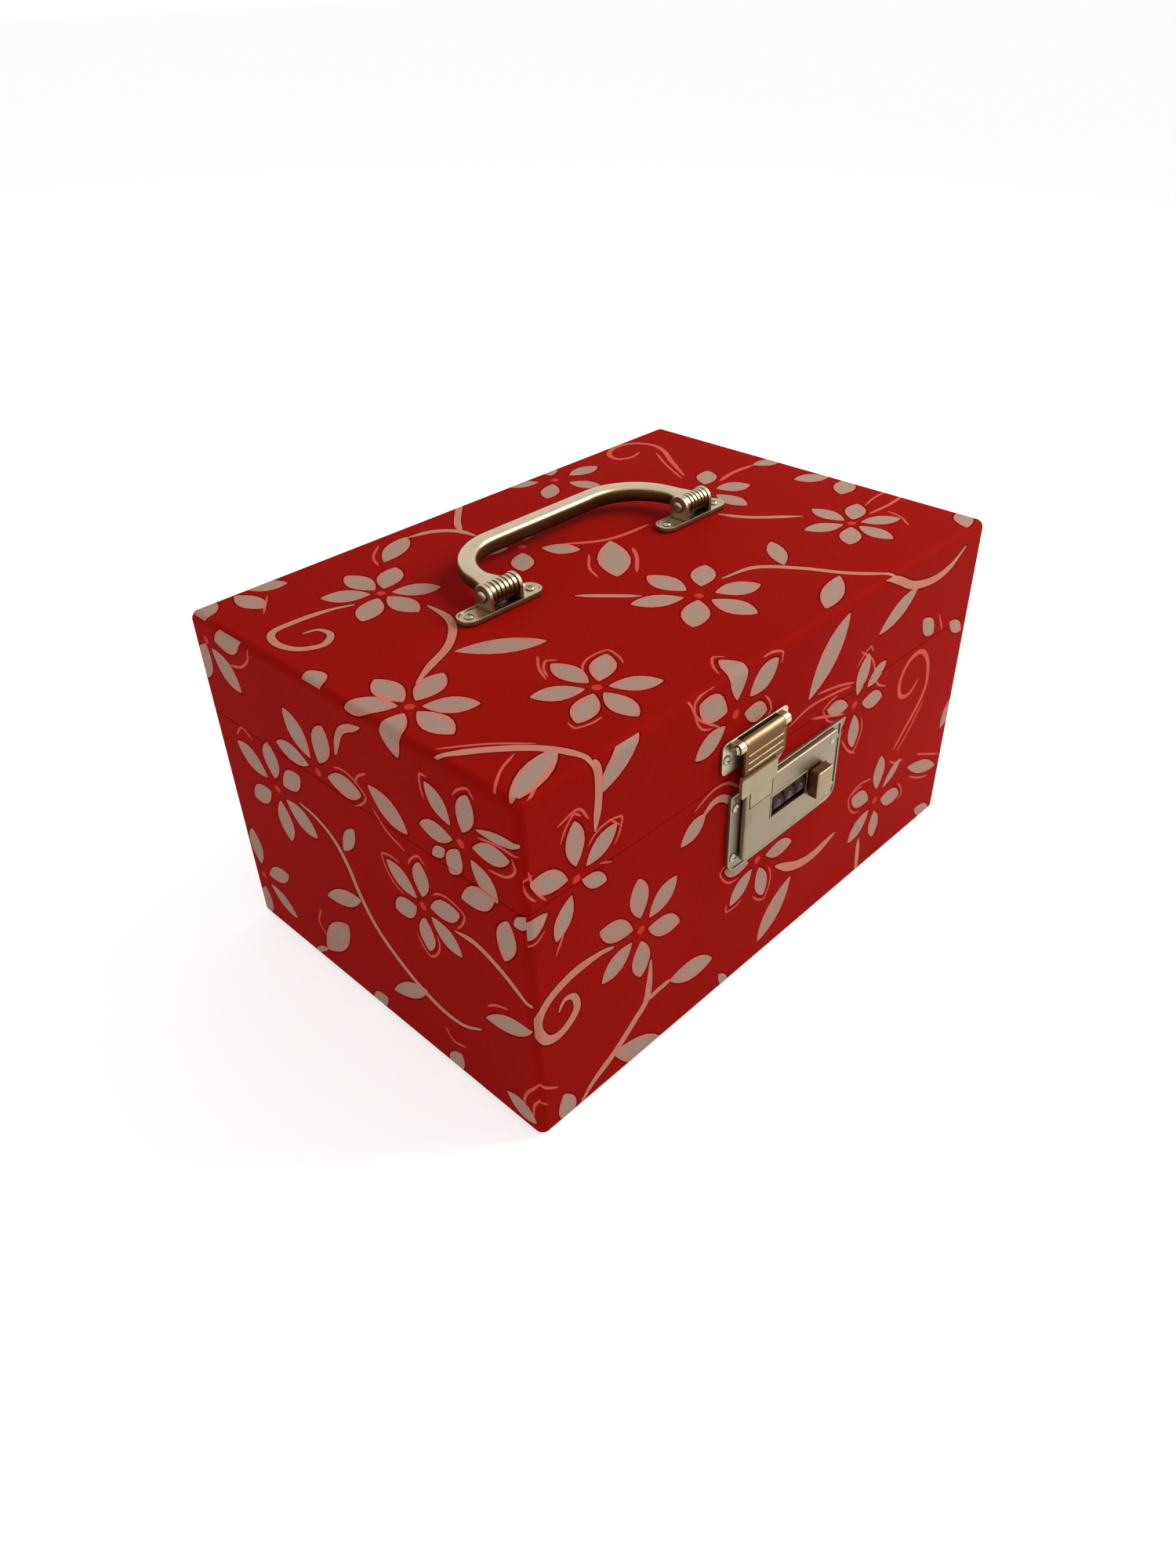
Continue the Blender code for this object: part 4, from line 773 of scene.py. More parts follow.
TOP_PRINT = FacePrint(
    rings=(
        (-86, 52, 25.5, 11.5, "", (90, 38, -35, -90, -145, 142)),
        (-135, -29, 25.5, 11.5, "", (83, 22, -43, -92, 203, 127)),
        (-80.5, -70, 25, 10.5, "014", (88, 35, -37, -100, 208, 148)),
        (105, -57, 24, 10, "", (85, 27, -35, -97, 211, 150)),
    ),
    blooms=(
        (1, -51, "", (
            (17, -40, 11, 21), (17, -59, 12.5, 21), (1, -33, 12.5, 22), (3, -68, 12.5, 22),
            (-14, -41, 11, 23), (-12, -60, 12, 24),
        )),
        (92, 21, "", ((106, 31, 10.5, 19), (105, 13, 12, 18), (91, 3, 10.5, 20), (80, 14, 11, 15))),
        (53, 88, "", (
            (38, 97, 9, 18), (41, 79, 9.5, 19), (59, 72, 9.5, 18), (72, 86, 10, 19), (60, 100, 10, 14),
        )),
        (-14, 41, "", ((-25, 29, 10.5, 19), (-4, 26, 11, 18), (-2, 52, 11, 19), (-27, 50, 11, 19))),
        (-130, 105, "", ((-128, 88, 10.5, 20), (-115, 96, 10.5, 19), (-145, 95, 10.5, 18))),
        (157, -22, "", ((140, -10, 11, 19), (141, -29, 11, 21))),
    ),
    petals=(
        (-147, 14, 11, 14, 70),
    ),
    leaves=(
        (-98, -10, -68, -31, 12), (-66, 76, -42, 90, 11), (17, 15, -8, -13, 15), (48, -60, 64, -41, 8.5),
        (55, -84, 26, -97, 9.5), (135, 24, 150, 17, 9), (-150, -98, -118, -87, 10.5),
        (135, -99, 150, -88, 9),
    ),
    stems=(
        (3.4, (-100, 52), (-110, 56), (-125, 58), (-137, 57), (-141, 48), (-138, 38), (-129, 33),
         (-122, 38), (-123, 45), (-129, 47)),
        (3.6, (-80, 28), (-81, 15), (-86, 5), (-97, -5), (-112, -12), (-123, -18)),
        (3.4, (-20, 66), (-21, 74), (-24, 80), (-31, 86), (-42, 89)),
        (3.4, (-22, 74), (-16, 84), (-5, 96), (3, 104)),
        (3.0, (20, -48), (38, -52), (50, -67), (60, -86), (75, -104)), (3.0, (-33, -12), (-15, -33)),
        (3.0, (73, -3), (80, -17), (97, -35)),
        (3.6, (-152, -58), (-135, -70), (-122, -83), (-116, -95), (-115, -105)),
    ),
    lines=(
        (2.2, (0, 29), (13, 19), (25, 15), (42, 14)), (1.7, (18, 2), (12, -6), (1, -16)),
        (1.2, (-14, -7), (-10, 2), (0, 12)), (1.1, (-120, 87), (-130, 74)),
        (1.2, (-70, 75), (-66, 84), (-57, 92)), (1.8, (120, -57), (135, -58), (150, -57)),
        (1.1, (127, -50), (138, -48), (150, -48)), (2.4, (107, 23), (120, 25), (135, 24)),
        (2.6, (101, 42), (112, 60), (121, 73), (124, 84), (119, 94), (108, 97), (98, 92), (96, 84),
         (103, 80), (111, 82)), (1.3, (97, 40), (106, 58), (116, 74)),
        (1.1, (-79, -37), (-85, -44), (-89, -52)), (1.1, (120, -78), (126, -70), (128, -62)),
        (1.1, (-152, -92), (-140, -83), (-130, -79)), (1.1, (-150, -104), (-138, -98), (-126, -93)),
        (1.1, (-146, -57), (-132, -68), (-121, -80)),
    ),
)

FRONT_PRINT = FacePrint(
    blooms=(
        (-37, 151, "0124", (
            (-36, 168, 11, 22), (-51, 160, 12, 20), (-20, 160, 11.5, 20), (-52, 145, 10, 19),
            (-24, 146, 9, 16),
        )),
        (51, 114, "0135", (
            (55, 128, 10, 20), (37, 119, 8, 18), (66, 110, 9, 18), (53, 99, 9, 19), (67, 123, 8, 16),
            (38, 107, 8, 16),
        )),
        (83, 43, "25", (
            (83, 60, 10, 20), (96, 53, 6.5, 18), (98, 37, 10, 20), (85, 27, 9, 18), (70, 34, 10.5, 20),
            (68, 52, 9.5, 19),
        )),
        (-15, 65, "0134", (
            (-26, 56, 10, 19), (-11, 50, 9, 20), (1, 62, 9, 20), (-30, 70, 9, 18), (-2, 76, 9, 18),
        )),
        (-91, 76, "", (
            (-92, 93, 11, 21), (-78, 85, 11.5, 20), (-77, 69, 10.5, 22), (-91, 60, 11, 20),
            (-105, 68, 11, 20), (-105, 85, 10.5, 22),
        )),
        (-125, 124, "0125", (
            (-125, 140, 9.5, 20), (-112, 132, 9.5, 19), (-138, 131, 10, 20), (-116, 118, 7, 15),
            (-132, 110, 9, 19), (-147, 115, 9, 16),
        )),
    ),
    petals=(
        (146, 66, 10, 20, 60), (-35, 6, 5, 14, -60),
    ),
    leaves=(
        (13, 134, 38, 165, 14), (64, 144, 93, 156, 9.5), (103, 136, 115, 124, 8.5),
        (130, 124, 144, 114, 6.5), (112, 48, 143, 33, 8), (128, 12, 145, 2, 8), (13, 38, -10, 12, 13.5),
        (-68, 104, -53, 112, 9.5), (-73, 34, -44, 26, 12), (-108, 18, -75, -4, 14), (-137, 18, -134, 0, 10),
        (-114, 154, -90, 173, 10.5),
    ),
    stems=(
        (3.8, (-117, 173), (-113, 165), (-113, 152), (-115, 140)),
        (3.8, (60, 173), (75, 166), (88, 159), (105, 155), (120, 156), (133, 162)),
        (3.4, (72, 25), (73, 14), (74, 3)), (5.0, (0, 52), (15, 43), (30, 40), (48, 43)),
        (3.4, (-56, 111), (-48, 115), (-41, 113), (-33, 105)),
        (4.2, (-85, 55), (-86, 42), (-88, 33), (-95, 27), (-107, 18), (-120, 11), (-128, 4)),
        (3.0, (-88, 33), (-80, 34), (-72, 34)),
        (4.4, (-107, 78), (-115, 80), (-130, 80), (-143, 75), (-148, 66), (-144, 56), (-136, 54),
         (-128, 60), (-129, 68), (-134, 70), (-137, 66)),
    ),
    lines=(
        (1.1, (-66, 172), (-60, 160), (-47, 150)), (1.2, (-60, 117), (-50, 121), (-40, 120), (-31, 113)),
        (1.2, (0, 127), (15, 130), (35, 128), (46, 126)), (1.2, (51, 141), (62, 132), (68, 118), (77, 112)),
        (1.1, (44, 98), (50, 90), (57, 85)), (1.1, (118, 133), (124, 122)),
        (2.5, (94, 68), (103, 77), (112, 86), (117, 96), (114, 110), (106, 118), (96, 117), (90, 109),
         (92, 100), (100, 97), (108, 102)), (1.2, (98, 65), (108, 75), (117, 86)),
        (1.3, (17, 123), (30, 118), (43, 113)), (1.2, (20, 134), (35, 131), (48, 127)),
        (1.1, (120, 52), (132, 46), (144, 40)), (1.1, (116, 40), (126, 34), (136, 30)),
        (1.1, (-147, 141), (-145, 132), (-140, 124)), (1.1, (-132, 104), (-137, 95)),
        (1.1, (-133, 152), (-123, 154), (-118, 147)), (1.1, (-108, 141), (-102, 135)),
        (1.1, (-113, 124), (-107, 121)), (1.1, (-150, 35), (-146, 30), (-140, 25)),
        (1.1, (-150, 24), (-146, 20)), (1.1, (92, 62), (98, 58), (106, 56)),
        (1.1, (58, 60), (66, 62), (76, 60)),
    ),
)

LEFT_PRINT = FacePrint(
    blooms=(
        (70, 138, "02", (
            (74, 153, 9.5, 19), (86, 142, 9, 20), (59, 150, 9.5, 18), (56, 136, 9, 19), (65, 127, 9, 16),
            (81, 127, 10, 18),
        )),
        (41, 91, "0135", (
            (42, 105, 10, 18), (55, 97, 10, 20), (54, 83, 10.5, 20), (41, 76, 10, 18), (29, 83, 10, 18),
            (29, 98, 10.5, 20),
        )),
        (-19, 126, "3", ((-13, 142, 12, 22), (-30, 140, 12.5, 23), (-37, 127, 9.5, 23), (-1, 128, 11, 23))),
        (-57, 99, "", (
            (-57, 114, 12, 19), (-43, 110, 10, 20), (-41, 91, 12, 23), (-56, 82, 12, 22), (-72, 89, 10, 20),
            (-74, 107, 12, 23),
        )),
        (-92, 30, "", ((-92, 48, 11, 22), (-76, 39, 9, 23), (-77, 22, 9, 22), (-95, 12, 10, 20))),
        (-90, 160, "", ((-72, 166, 12, 22), (-78, 150, 12, 23), (-96, 148, 12, 22))),
    ),
    petals=(
        (76, 116, 10.5, 22, 30), (-4, 7, 8, 16, 40), (49, 7, 9, 18, 60), (90, 12, 10.5, 18, -20),
    ),
    leaves=(
        (88, 93, 92, 115, 10.5), (95, 115, 103, 121, 6), (73, 52, 100, 64, 9), (16, 137, 38, 125, 12),
        (52, 123, 60, 130, 5), (79, 149, 102, 153, 4.5), (-11, 90, 0, 107, 7), (-33, 52, -5, 66, 9),
        (9, 22, 35, 40, 8.5), (-44, 12, -20, 42, 13.5),
    ),
    stems=(
        (2.8, (60, 90), (72, 91), (86, 86), (102, 76)), (3.4, (-3, 142), (0, 150), (5, 157), (17, 163)),
        (3.0, (-40, 100), (-28, 98), (-17, 92), (-10, 82), (-5, 70), (3, 57), (15, 47), (30, 39),
         (45, 35), (58, 36), (69, 42)), (3.0, (-44, 12), (-50, 8), (-55, 3)),
    ),
    lines=(
        (1.1, (80, 146), (90, 148), (100, 148)), (1.1, (84, 134), (93, 136), (98, 141), (97, 146)),
        (1.2, (17, 126), (24, 119), (34, 115)), (1.2, (44, 25), (49, 20), (57, 22)),
        (1.1, (75, 60), (80, 64), (87, 67)), (1.1, (7, 133), (10, 138), (16, 142)),
        (1.1, (-40, 20), (-46, 28), (-42, 38)), (1.1, (-83, 116), (-77, 122), (-70, 119)),
        (1.4, (91, 14), (94, 24), (101, 34)), (1.2, (97, 12), (98, 20), (103, 27)),
        (1.2, (-74, 154), (-64, 157), (-57, 163), (-56, 168)),
    ),
)


@dataclass(frozen=True)
class Run:
    """A straight or curved run of a cloth's section: its length and how far it turns."""

    length: float
    turn: float = 0.0
    steps: int = 1


@dataclass(frozen=True)
class Section:
    """A section through a cloth from its inner edge to its outer one, always turning left.

    The start is (outward, up) in millimetres, with outward 0 at the face of the box.
    """

    start: Point
    heading: float
    runs: tuple[Run, ...]
    first: float
    rounding: float = 1e-9

    def stations(self) -> list[float]:
        """Finds where the cloth has to be cut to follow its curves.

        Returns:
            Distances along the cloth.
        """
        places, at = [self.first], self.first
        for run in self.runs:
            places += [at + run.length * (i + 1) / run.steps for i in range(run.steps)]
            at += run.length
        return places

    def at(self, place: float) -> tuple[float, float, float]:
        """A point of the section.

        Args:
            place: the distance along the cloth.

        Returns:
            Outward, up, and the heading in degrees.
        """
        out, up, heading, left = *self.start, self.heading, place - self.first
        for index, run in enumerate(self.runs):
            last = index == len(self.runs) - 1
            part = left if last else min(left, run.length)
            if run.turn:
                radius = run.length / math.radians(run.turn)
                before, after = math.radians(heading), math.radians(heading + run.turn * part / run.length)
                out += radius * (math.sin(after) - math.sin(before))
                up -= radius * (math.cos(after) - math.cos(before))
                heading = math.degrees(after)
            else:
                out += part * math.cos(math.radians(heading))
                up += part * math.sin(math.radians(heading))
            left -= part
            if left <= self.rounding:
                break
        return out, up, heading


class Side(Enum):
    """The four sides, each with the direction that its u runs in and the way it faces."""

    FRONT = ((1, 0), (0, -1))
    RIGHT = ((0, 1), (1, 0))
    BACK = ((-1, 0), (0, 1))
    LEFT = ((0, -1), (-1, 0))


@dataclass
class ClothMesh:
    """Gathers cut and mapped cloth into one mesh."""

    points: list[Vector] = field(default_factory=list)
    normals: list[Vector] = field(default_factory=list)
    faces: list[tuple[int, int, int]] = field(default_factory=list)
    flats: list[Point] = field(default_factory=list)
    dyes: list[Colour] = field(default_factory=list)

    def add(
        self, low: Point, high: Point, cuts_u: Sequence[float], cuts_v: Sequence[float],
        zones: Sequence[Sequence[Shape]], breaks: Sequence[float], surface: Surface,
    ) -> None:
        """Cuts a rectangle of cloth along its print and lays it on the box.

        Args:
            low: its lower left corner on the flat.
            high: its upper right corner.
            cuts_u: extra upright cuts.
            cuts_v: extra level cuts.
            zones: the print of each zone between breaks, from the lowest up.
            breaks: heights where the print changes.
            surface: gives a flat point's place and normal.
        """
        coords: list[Vector] = []
        meaning: dict[int, tuple[Ink, int]] = {}

        def outline(points: Sequence[Point]) -> list[int]:
            """Adds points, turned anticlockwise.

            Args:
                points: the points.

            Returns:
                Their numbers.
            """
            first = len(coords)
            twice = sum(a[0] * b[1] - b[0] * a[1] for a, b in zip(points, [*points[1:], points[0]]))
            coords.extend(Vector(p) for p in (points if twice >= 0 else reversed(points)))
            return list(range(first, len(coords)))

        outlines = [outline([low, (high[0], low[1]), high, (low[0], high[1])])]
        edges = [tuple(outline([(u, low[1]), (u, high[1])])) for u in cuts_u]
        edges += [tuple(outline([(low[0], v), (high[0], v)])) for v in [*cuts_v, *breaks]]
        bands = [low[1], *breaks, high[1]]
        for zone, (shapes, bottom, top) in enumerate(zip(zones, bands, bands[1:])):
            for shape in shapes:
                if shape.reaches((low[0], bottom), (high[0], top)):
                    meaning[len(outlines)] = (shape.ink, zone)
                    outlines.append(outline(shape.outline))
        inside, precision = 1, 1e-5
        made, _, cut_faces, _, _, from_faces = delaunay_2d_cdt(coords, edges, outlines, inside, precision)
        inked: list[tuple[list[int], Ink]] = []
        for corners, sources in zip(cut_faces, from_faces):
            if 0 in sources:
                middle = sum((made[i].y for i in corners)) / len(corners)
                zone = sum(middle > b for b in breaks)
                inks = [meaning[s][0] for s in sources if s and meaning[s][1] == zone]
                inked.append((corners, max(inks, key=lambda i: i.value[0], default=Ink.GROUND)))
        hearts = {i for corners, ink in inked if ink is Ink.HEART for i in corners}
        placed: dict[int, int] = {}
        for corners, ink in inked:
            if ink is Ink.HOLE:
                continue
            for i in corners:
                if i not in placed:
                    placed[i] = len(self.points)
                    point, normal = surface(made[i].x, made[i].y)
                    self.points.append(point * MM)
                    self.normals.append(normal)
                self.flats.append((made[i].x * MM, made[i].y * MM))
                shade = Ink.HEART if ink is Ink.PETAL and i in hearts else ink
                self.dyes.append(shade.value[1])
            self.faces.append(tuple(placed[i] for i in corners))

    def mesh(self, name: str) -> bpy.types.Mesh:
        """The finished mesh, with its flat pattern as UV and the print as a colour attribute.

        Args:
            name: the mesh's name.

        Returns:
            The mesh.
        """
        mesh = bpy.data.meshes.new(name)
        mesh.from_pydata(self.points, [], self.faces)
        layer = mesh.uv_layers.new(name="flat")
        layer.data.foreach_set("uv", [value for flat in self.flats for value in flat])
        dye = mesh.color_attributes.new("dye", "FLOAT_COLOR", "CORNER")
        dye.data.foreach_set("color", [value for colour in self.dyes for value in (*colour, 1.0)])
        mesh.polygons.foreach_set("use_smooth", [True] * len(mesh.polygons))
        mesh.normals_split_custom_set_from_vertices(self.normals)
        return mesh


@dataclass
class Covering:
    """The printed cloth of the base and the lid, cut, folded and glued over the boards.

    wrapped is the span of the front flower that goes on over the edge onto the top, and shared
    the span and depth in which the top's print goes on down the left side.
    """

    half_length: float = 150.0
    half_depth: float = 101.5
    height: float = 170.0
    seam: float = 122.0
    seam_gap: float = 0.3
    edge_radius: float = 4.0
    roll: float = 0.5
    inside: float = 7.2
    turn_in: float = 10.0
    underside: float = 1.3
    under_reach: float = 6.1
    grid: float = 25.0
    edge_steps: int = 6
    corner_steps: int = 3
    roll_steps: tuple[int, int] = (3, 2)
    lock_opening: tuple[Point, Point] = ((-18.5, 88.6), (14.0, 103.4))
    wrapped: tuple[float, float] = (-41.0, -29.0)
    shared: Place = (-2.0, 56.0, 30.0)

    def __post_init__(self) -> None:
        """Works out the cloth round an edge, and where a side's cloth folds and ends at the top."""
        self.arc = self.edge_radius * math.pi / 2
        self.fold = self.height - self.edge_radius + self.arc / 2
        self.side_end = self.height - self.edge_radius + self.arc

    def hem(self) -> tuple[Run, ...]:
        """The cloth from the wall over a rim and down inside.

        Returns:
            Its runs.
        """
        curl = self.roll * math.pi / 2
        across = Run(self.inside - self.roll * 2)
        over, inward = (Run(curl, 90, steps) for steps in self.roll_steps)
        return over, across, inward, Run(self.turn_in - self.roll)

    def base_section(self) -> Section:
        """The base's cloth from under the floor, up the side, over the rim and down inside.

        Returns:
            The section.
        """
        start = self.underside + self.edge_radius
        under = self.under_reach - self.edge_radius
        wall = self.seam - self.seam_gap / 2 - self.roll - start
        runs = (Run(under), Run(self.arc, 90, self.edge_steps), Run(wall), *self.hem())
        return Section((-self.under_reach, self.underside), 0, runs, start - self.arc - under)

    def lid_section(self) -> Section:
        """The lid's cloth from inside, round its rim, up the side and over the top edge.

        Returns:
            The section.
        """
        rim, hem = self.seam + self.seam_gap / 2, self.hem()[::-1]
        wall = self.height - self.edge_radius - rim - self.roll
        first = rim + self.roll - sum(run.length for run in hem)
        runs = (*hem, Run(wall), Run(self.arc, 90, self.edge_steps))
        return Section((-self.inside, rim + self.turn_in), 270, runs, first)

    def extent(self, side: Side) -> Point:
        """Half the side's own length and half the box's measure across it."""
        sizes = (self.half_length, self.half_depth)
        return sizes if side in (Side.FRONT, Side.BACK) else sizes[::-1]

    def side_surface(self, side: Side, section: Section) -> Surface:
        """How a side's cloth lies on the box.

        Args:
            side: which side.
            section: the section that it follows.

        Returns:
            A function from a flat point to its place in millimetres and its normal.
        """
        along, across = (Vector((*way, 0.0)) for way in side.value)
        half, depth = self.extent(side)
        radius = self.edge_radius
        straight = half - radius

        def surface(u: float, v: float) -> tuple[Vector, Vector]:
            """Lays a flat point on the box.

            Args:
                u: its place across the cloth.
                v: its place along the section.

            Returns:
                Its place and normal.
            """
            out, up, heading = section.at(v)
            drawn = max(radius, -out)
            corner = max(radius + out, 0.0)
            reach, stand = half - drawn, depth - drawn
            if abs(u) <= straight:
                angle, place = 0.0, along * (u / straight * reach)
            else:
                angle = (abs(u) - straight) / radius
                place = along * math.copysign(reach + corner * math.sin(angle), u)
            place = place + across * (stand + corner * math.cos(angle)) + Vector((0, 0, up))
            facing = along * math.copysign(math.sin(angle), u) + across * math.cos(angle)
            tilt = math.radians(heading - 90)
            return place, facing * math.cos(tilt) + Vector((0, 0, math.sin(tilt)))

        return surface

    def even_cuts(self, half: float) -> list[float]:
        """An even grid over a flat."""
        count = round(half * 2 / self.grid)
        return [half * (2 * i / count - 1) for i in range(1, count)]

    def add_side(
        self, cloth: ClothMesh, side: Side, section: Section, zones: Sequence[Sequence[Shape]],
        breaks: Sequence[float] = (),
    ) -> None:
        """Adds one side to a cloth.

        Args:
            cloth: the cloth.
            side: which side.
            section: its section.
            zones: its print in each zone between breaks.
            breaks: heights where the print changes.
        """
        straight = self.extent(side)[0] - self.edge_radius
        reach, levels, pitch = straight + self.arc / 2, section.stations(), int(self.grid)
        rounds = [straight + self.arc / 2 * i / self.corner_steps for i in range(self.corner_steps)]
        cuts_u = [-u for u in rounds] + rounds + self.even_cuts(straight)
        wall = [v for v in range(pitch, int(self.height), pitch) if levels[0] < v < levels[-1]]
        low, high = (-reach, levels[0]), (reach, levels[-1])
        surface = self.side_surface(side, section)
        cloth.add(low, high, cuts_u, [*levels[1:-1], *wall], zones, breaks, surface)

    def prints(self) -> dict[Side, list[Shape]]:
        """Each side's print. The two sides out of sight carry the others', turned over.

        Returns:
            The shapes by side.
        """
        front, left = FRONT_PRINT.shapes(), LEFT_PRINT.shapes()
        back, right = (carried(shapes, lambda p: (-p[0], self.height - p[1])) for shapes in (front, left))
        return {Side.FRONT: front, Side.LEFT: left, Side.BACK: back, Side.RIGHT: right}

    def build_base(self) -> None:
        """The base's cloth, in one strip round the four sides."""
        section, cloth = self.base_section(), ClothMesh()
        (left, bottom), (right, top) = self.lock_opening
        hole = Shape(Ink.HOLE, ((left, bottom), (right, bottom), (right, top), (left, top)))
        for side, shapes in self.prints().items():
            own = [*shapes, hole] if side is Side.FRONT else shapes
            self.add_side(cloth, side, section, [own])
        mesh = cloth.mesh("base_cloth")
        piece = as_piece("base_cloth", mesh, "base", "printed_cloth", "base_cover", CLOTH)

    def top_fold(self, side: Side) -> Callable[[Point], Point]:
        """Carries the top's print over the edge onto a side's cloth.

        Args:
            side: which side.

        Returns:
            A function from a point of the top to its place on that cloth.
        """
        along, across = side.value
        edge = self.extent(side)[1] - self.edge_radius

        def move(point: Point) -> Point:
            """The point's place on the side's cloth."""
            beyond = point[0] * across[0] + point[1] * across[1] - edge
            return point[0] * along[0] + point[1] * along[1], self.side_end - beyond

        return move

    def build_lid(self) -> None:
        """The lid's cloth: the top, and the sides folded down and in."""
        section, cloth, top = self.lid_section(), ClothMesh(), TOP_PRINT.shapes()
        wrapped = [s for s in FRONT_PRINT.shapes() if s.stands_in(*self.wrapped, self.fold)]
        for side, shapes in self.prints().items():
            over = carried(top, self.top_fold(side))
            if side is Side.LEFT:
                left, right, depth = self.shared
                shapes = shapes + [s for s in over if s.stands_in(left, right, self.fold - depth)]
            if side is Side.FRONT:
                over = over + wrapped
            self.add_side(cloth, side, section, [shapes, over], [self.fold])
        flat_u, flat_v = self.half_length - self.edge_radius, self.half_depth - self.edge_radius
        top += carried(wrapped, lambda p: (p[0], -flat_v + p[1] - self.side_end))
        cloth.add(
            (-flat_u, -flat_v), (flat_u, flat_v), self.even_cuts(flat_u), self.even_cuts(flat_v),
            [top], (), lambda u, v: (Vector((u, v, self.height)), Vector((0, 0, 1))),
        )
        mesh = cloth.mesh("lid_cloth")
        piece = as_piece("lid_cloth", mesh, "lid", "printed_cloth", "lid_cover", CLOTH)


# Solids for the metal and moulded pieces


class Plane(Enum):
    """The planes that outlines are drawn on, each as the ways of across, up and outward."""

    TOP = ((1, 0, 0), (0, 1, 0), (0, 0, 1))
    FRONT = ((1, 0, 0), (0, 0, 1), (0, -1, 0))
    SIDE = ((0, 1, 0), (0, 0, 1), (1, 0, 0))

    def point(self, across: float, up: float, out: float) -> Vector:
        """The point in space of a point of the plane."""
        ways = [Vector(way) for way in self.value]
        return ways[0] * across + ways[1] * up + ways[2] * out


def rounded(low: Point, high: Point, radii: Sequence[float], steps: int) -> list[Point]:
    """A rectangle with round corners.

    Args:
        low: its lower left corner.
        high: its upper right corner.
        radii: the corners' radii, from the lower left one anticlockwise.
        steps: segments of each corner.

    Returns:
        The outline.
    """
    (left, bottom), (right, top) = low, high
    corners = ((left, bottom, 180), (right, bottom, 270), (right, top, 0), (left, top, 90))
    points = []
    for (x, y, start), radius in zip(corners, radii):
        middle_x = x + math.copysign(radius, (left + right) / 2 - x)
        middle_y = y + math.copysign(radius, (bottom + top) / 2 - y)
        for index in range(steps + 1):
            angle = math.radians(start + 90 * index / steps)
            points.append((middle_x + radius * math.cos(angle), middle_y + radius * math.sin(angle)))
    return points


def evaluated(obj: bpy.types.Object) -> bmesh.types.BMesh:
    """Works out an object's modifiers.

    Args:
        obj: the object.

    Returns:
        Its shape after them.
    """
    done = obj.evaluated_get(bpy.context.evaluated_depsgraph_get())
    shape = bmesh.new()
    shape.from_mesh(done.to_mesh())
    done.to_mesh_clear()
    return shape


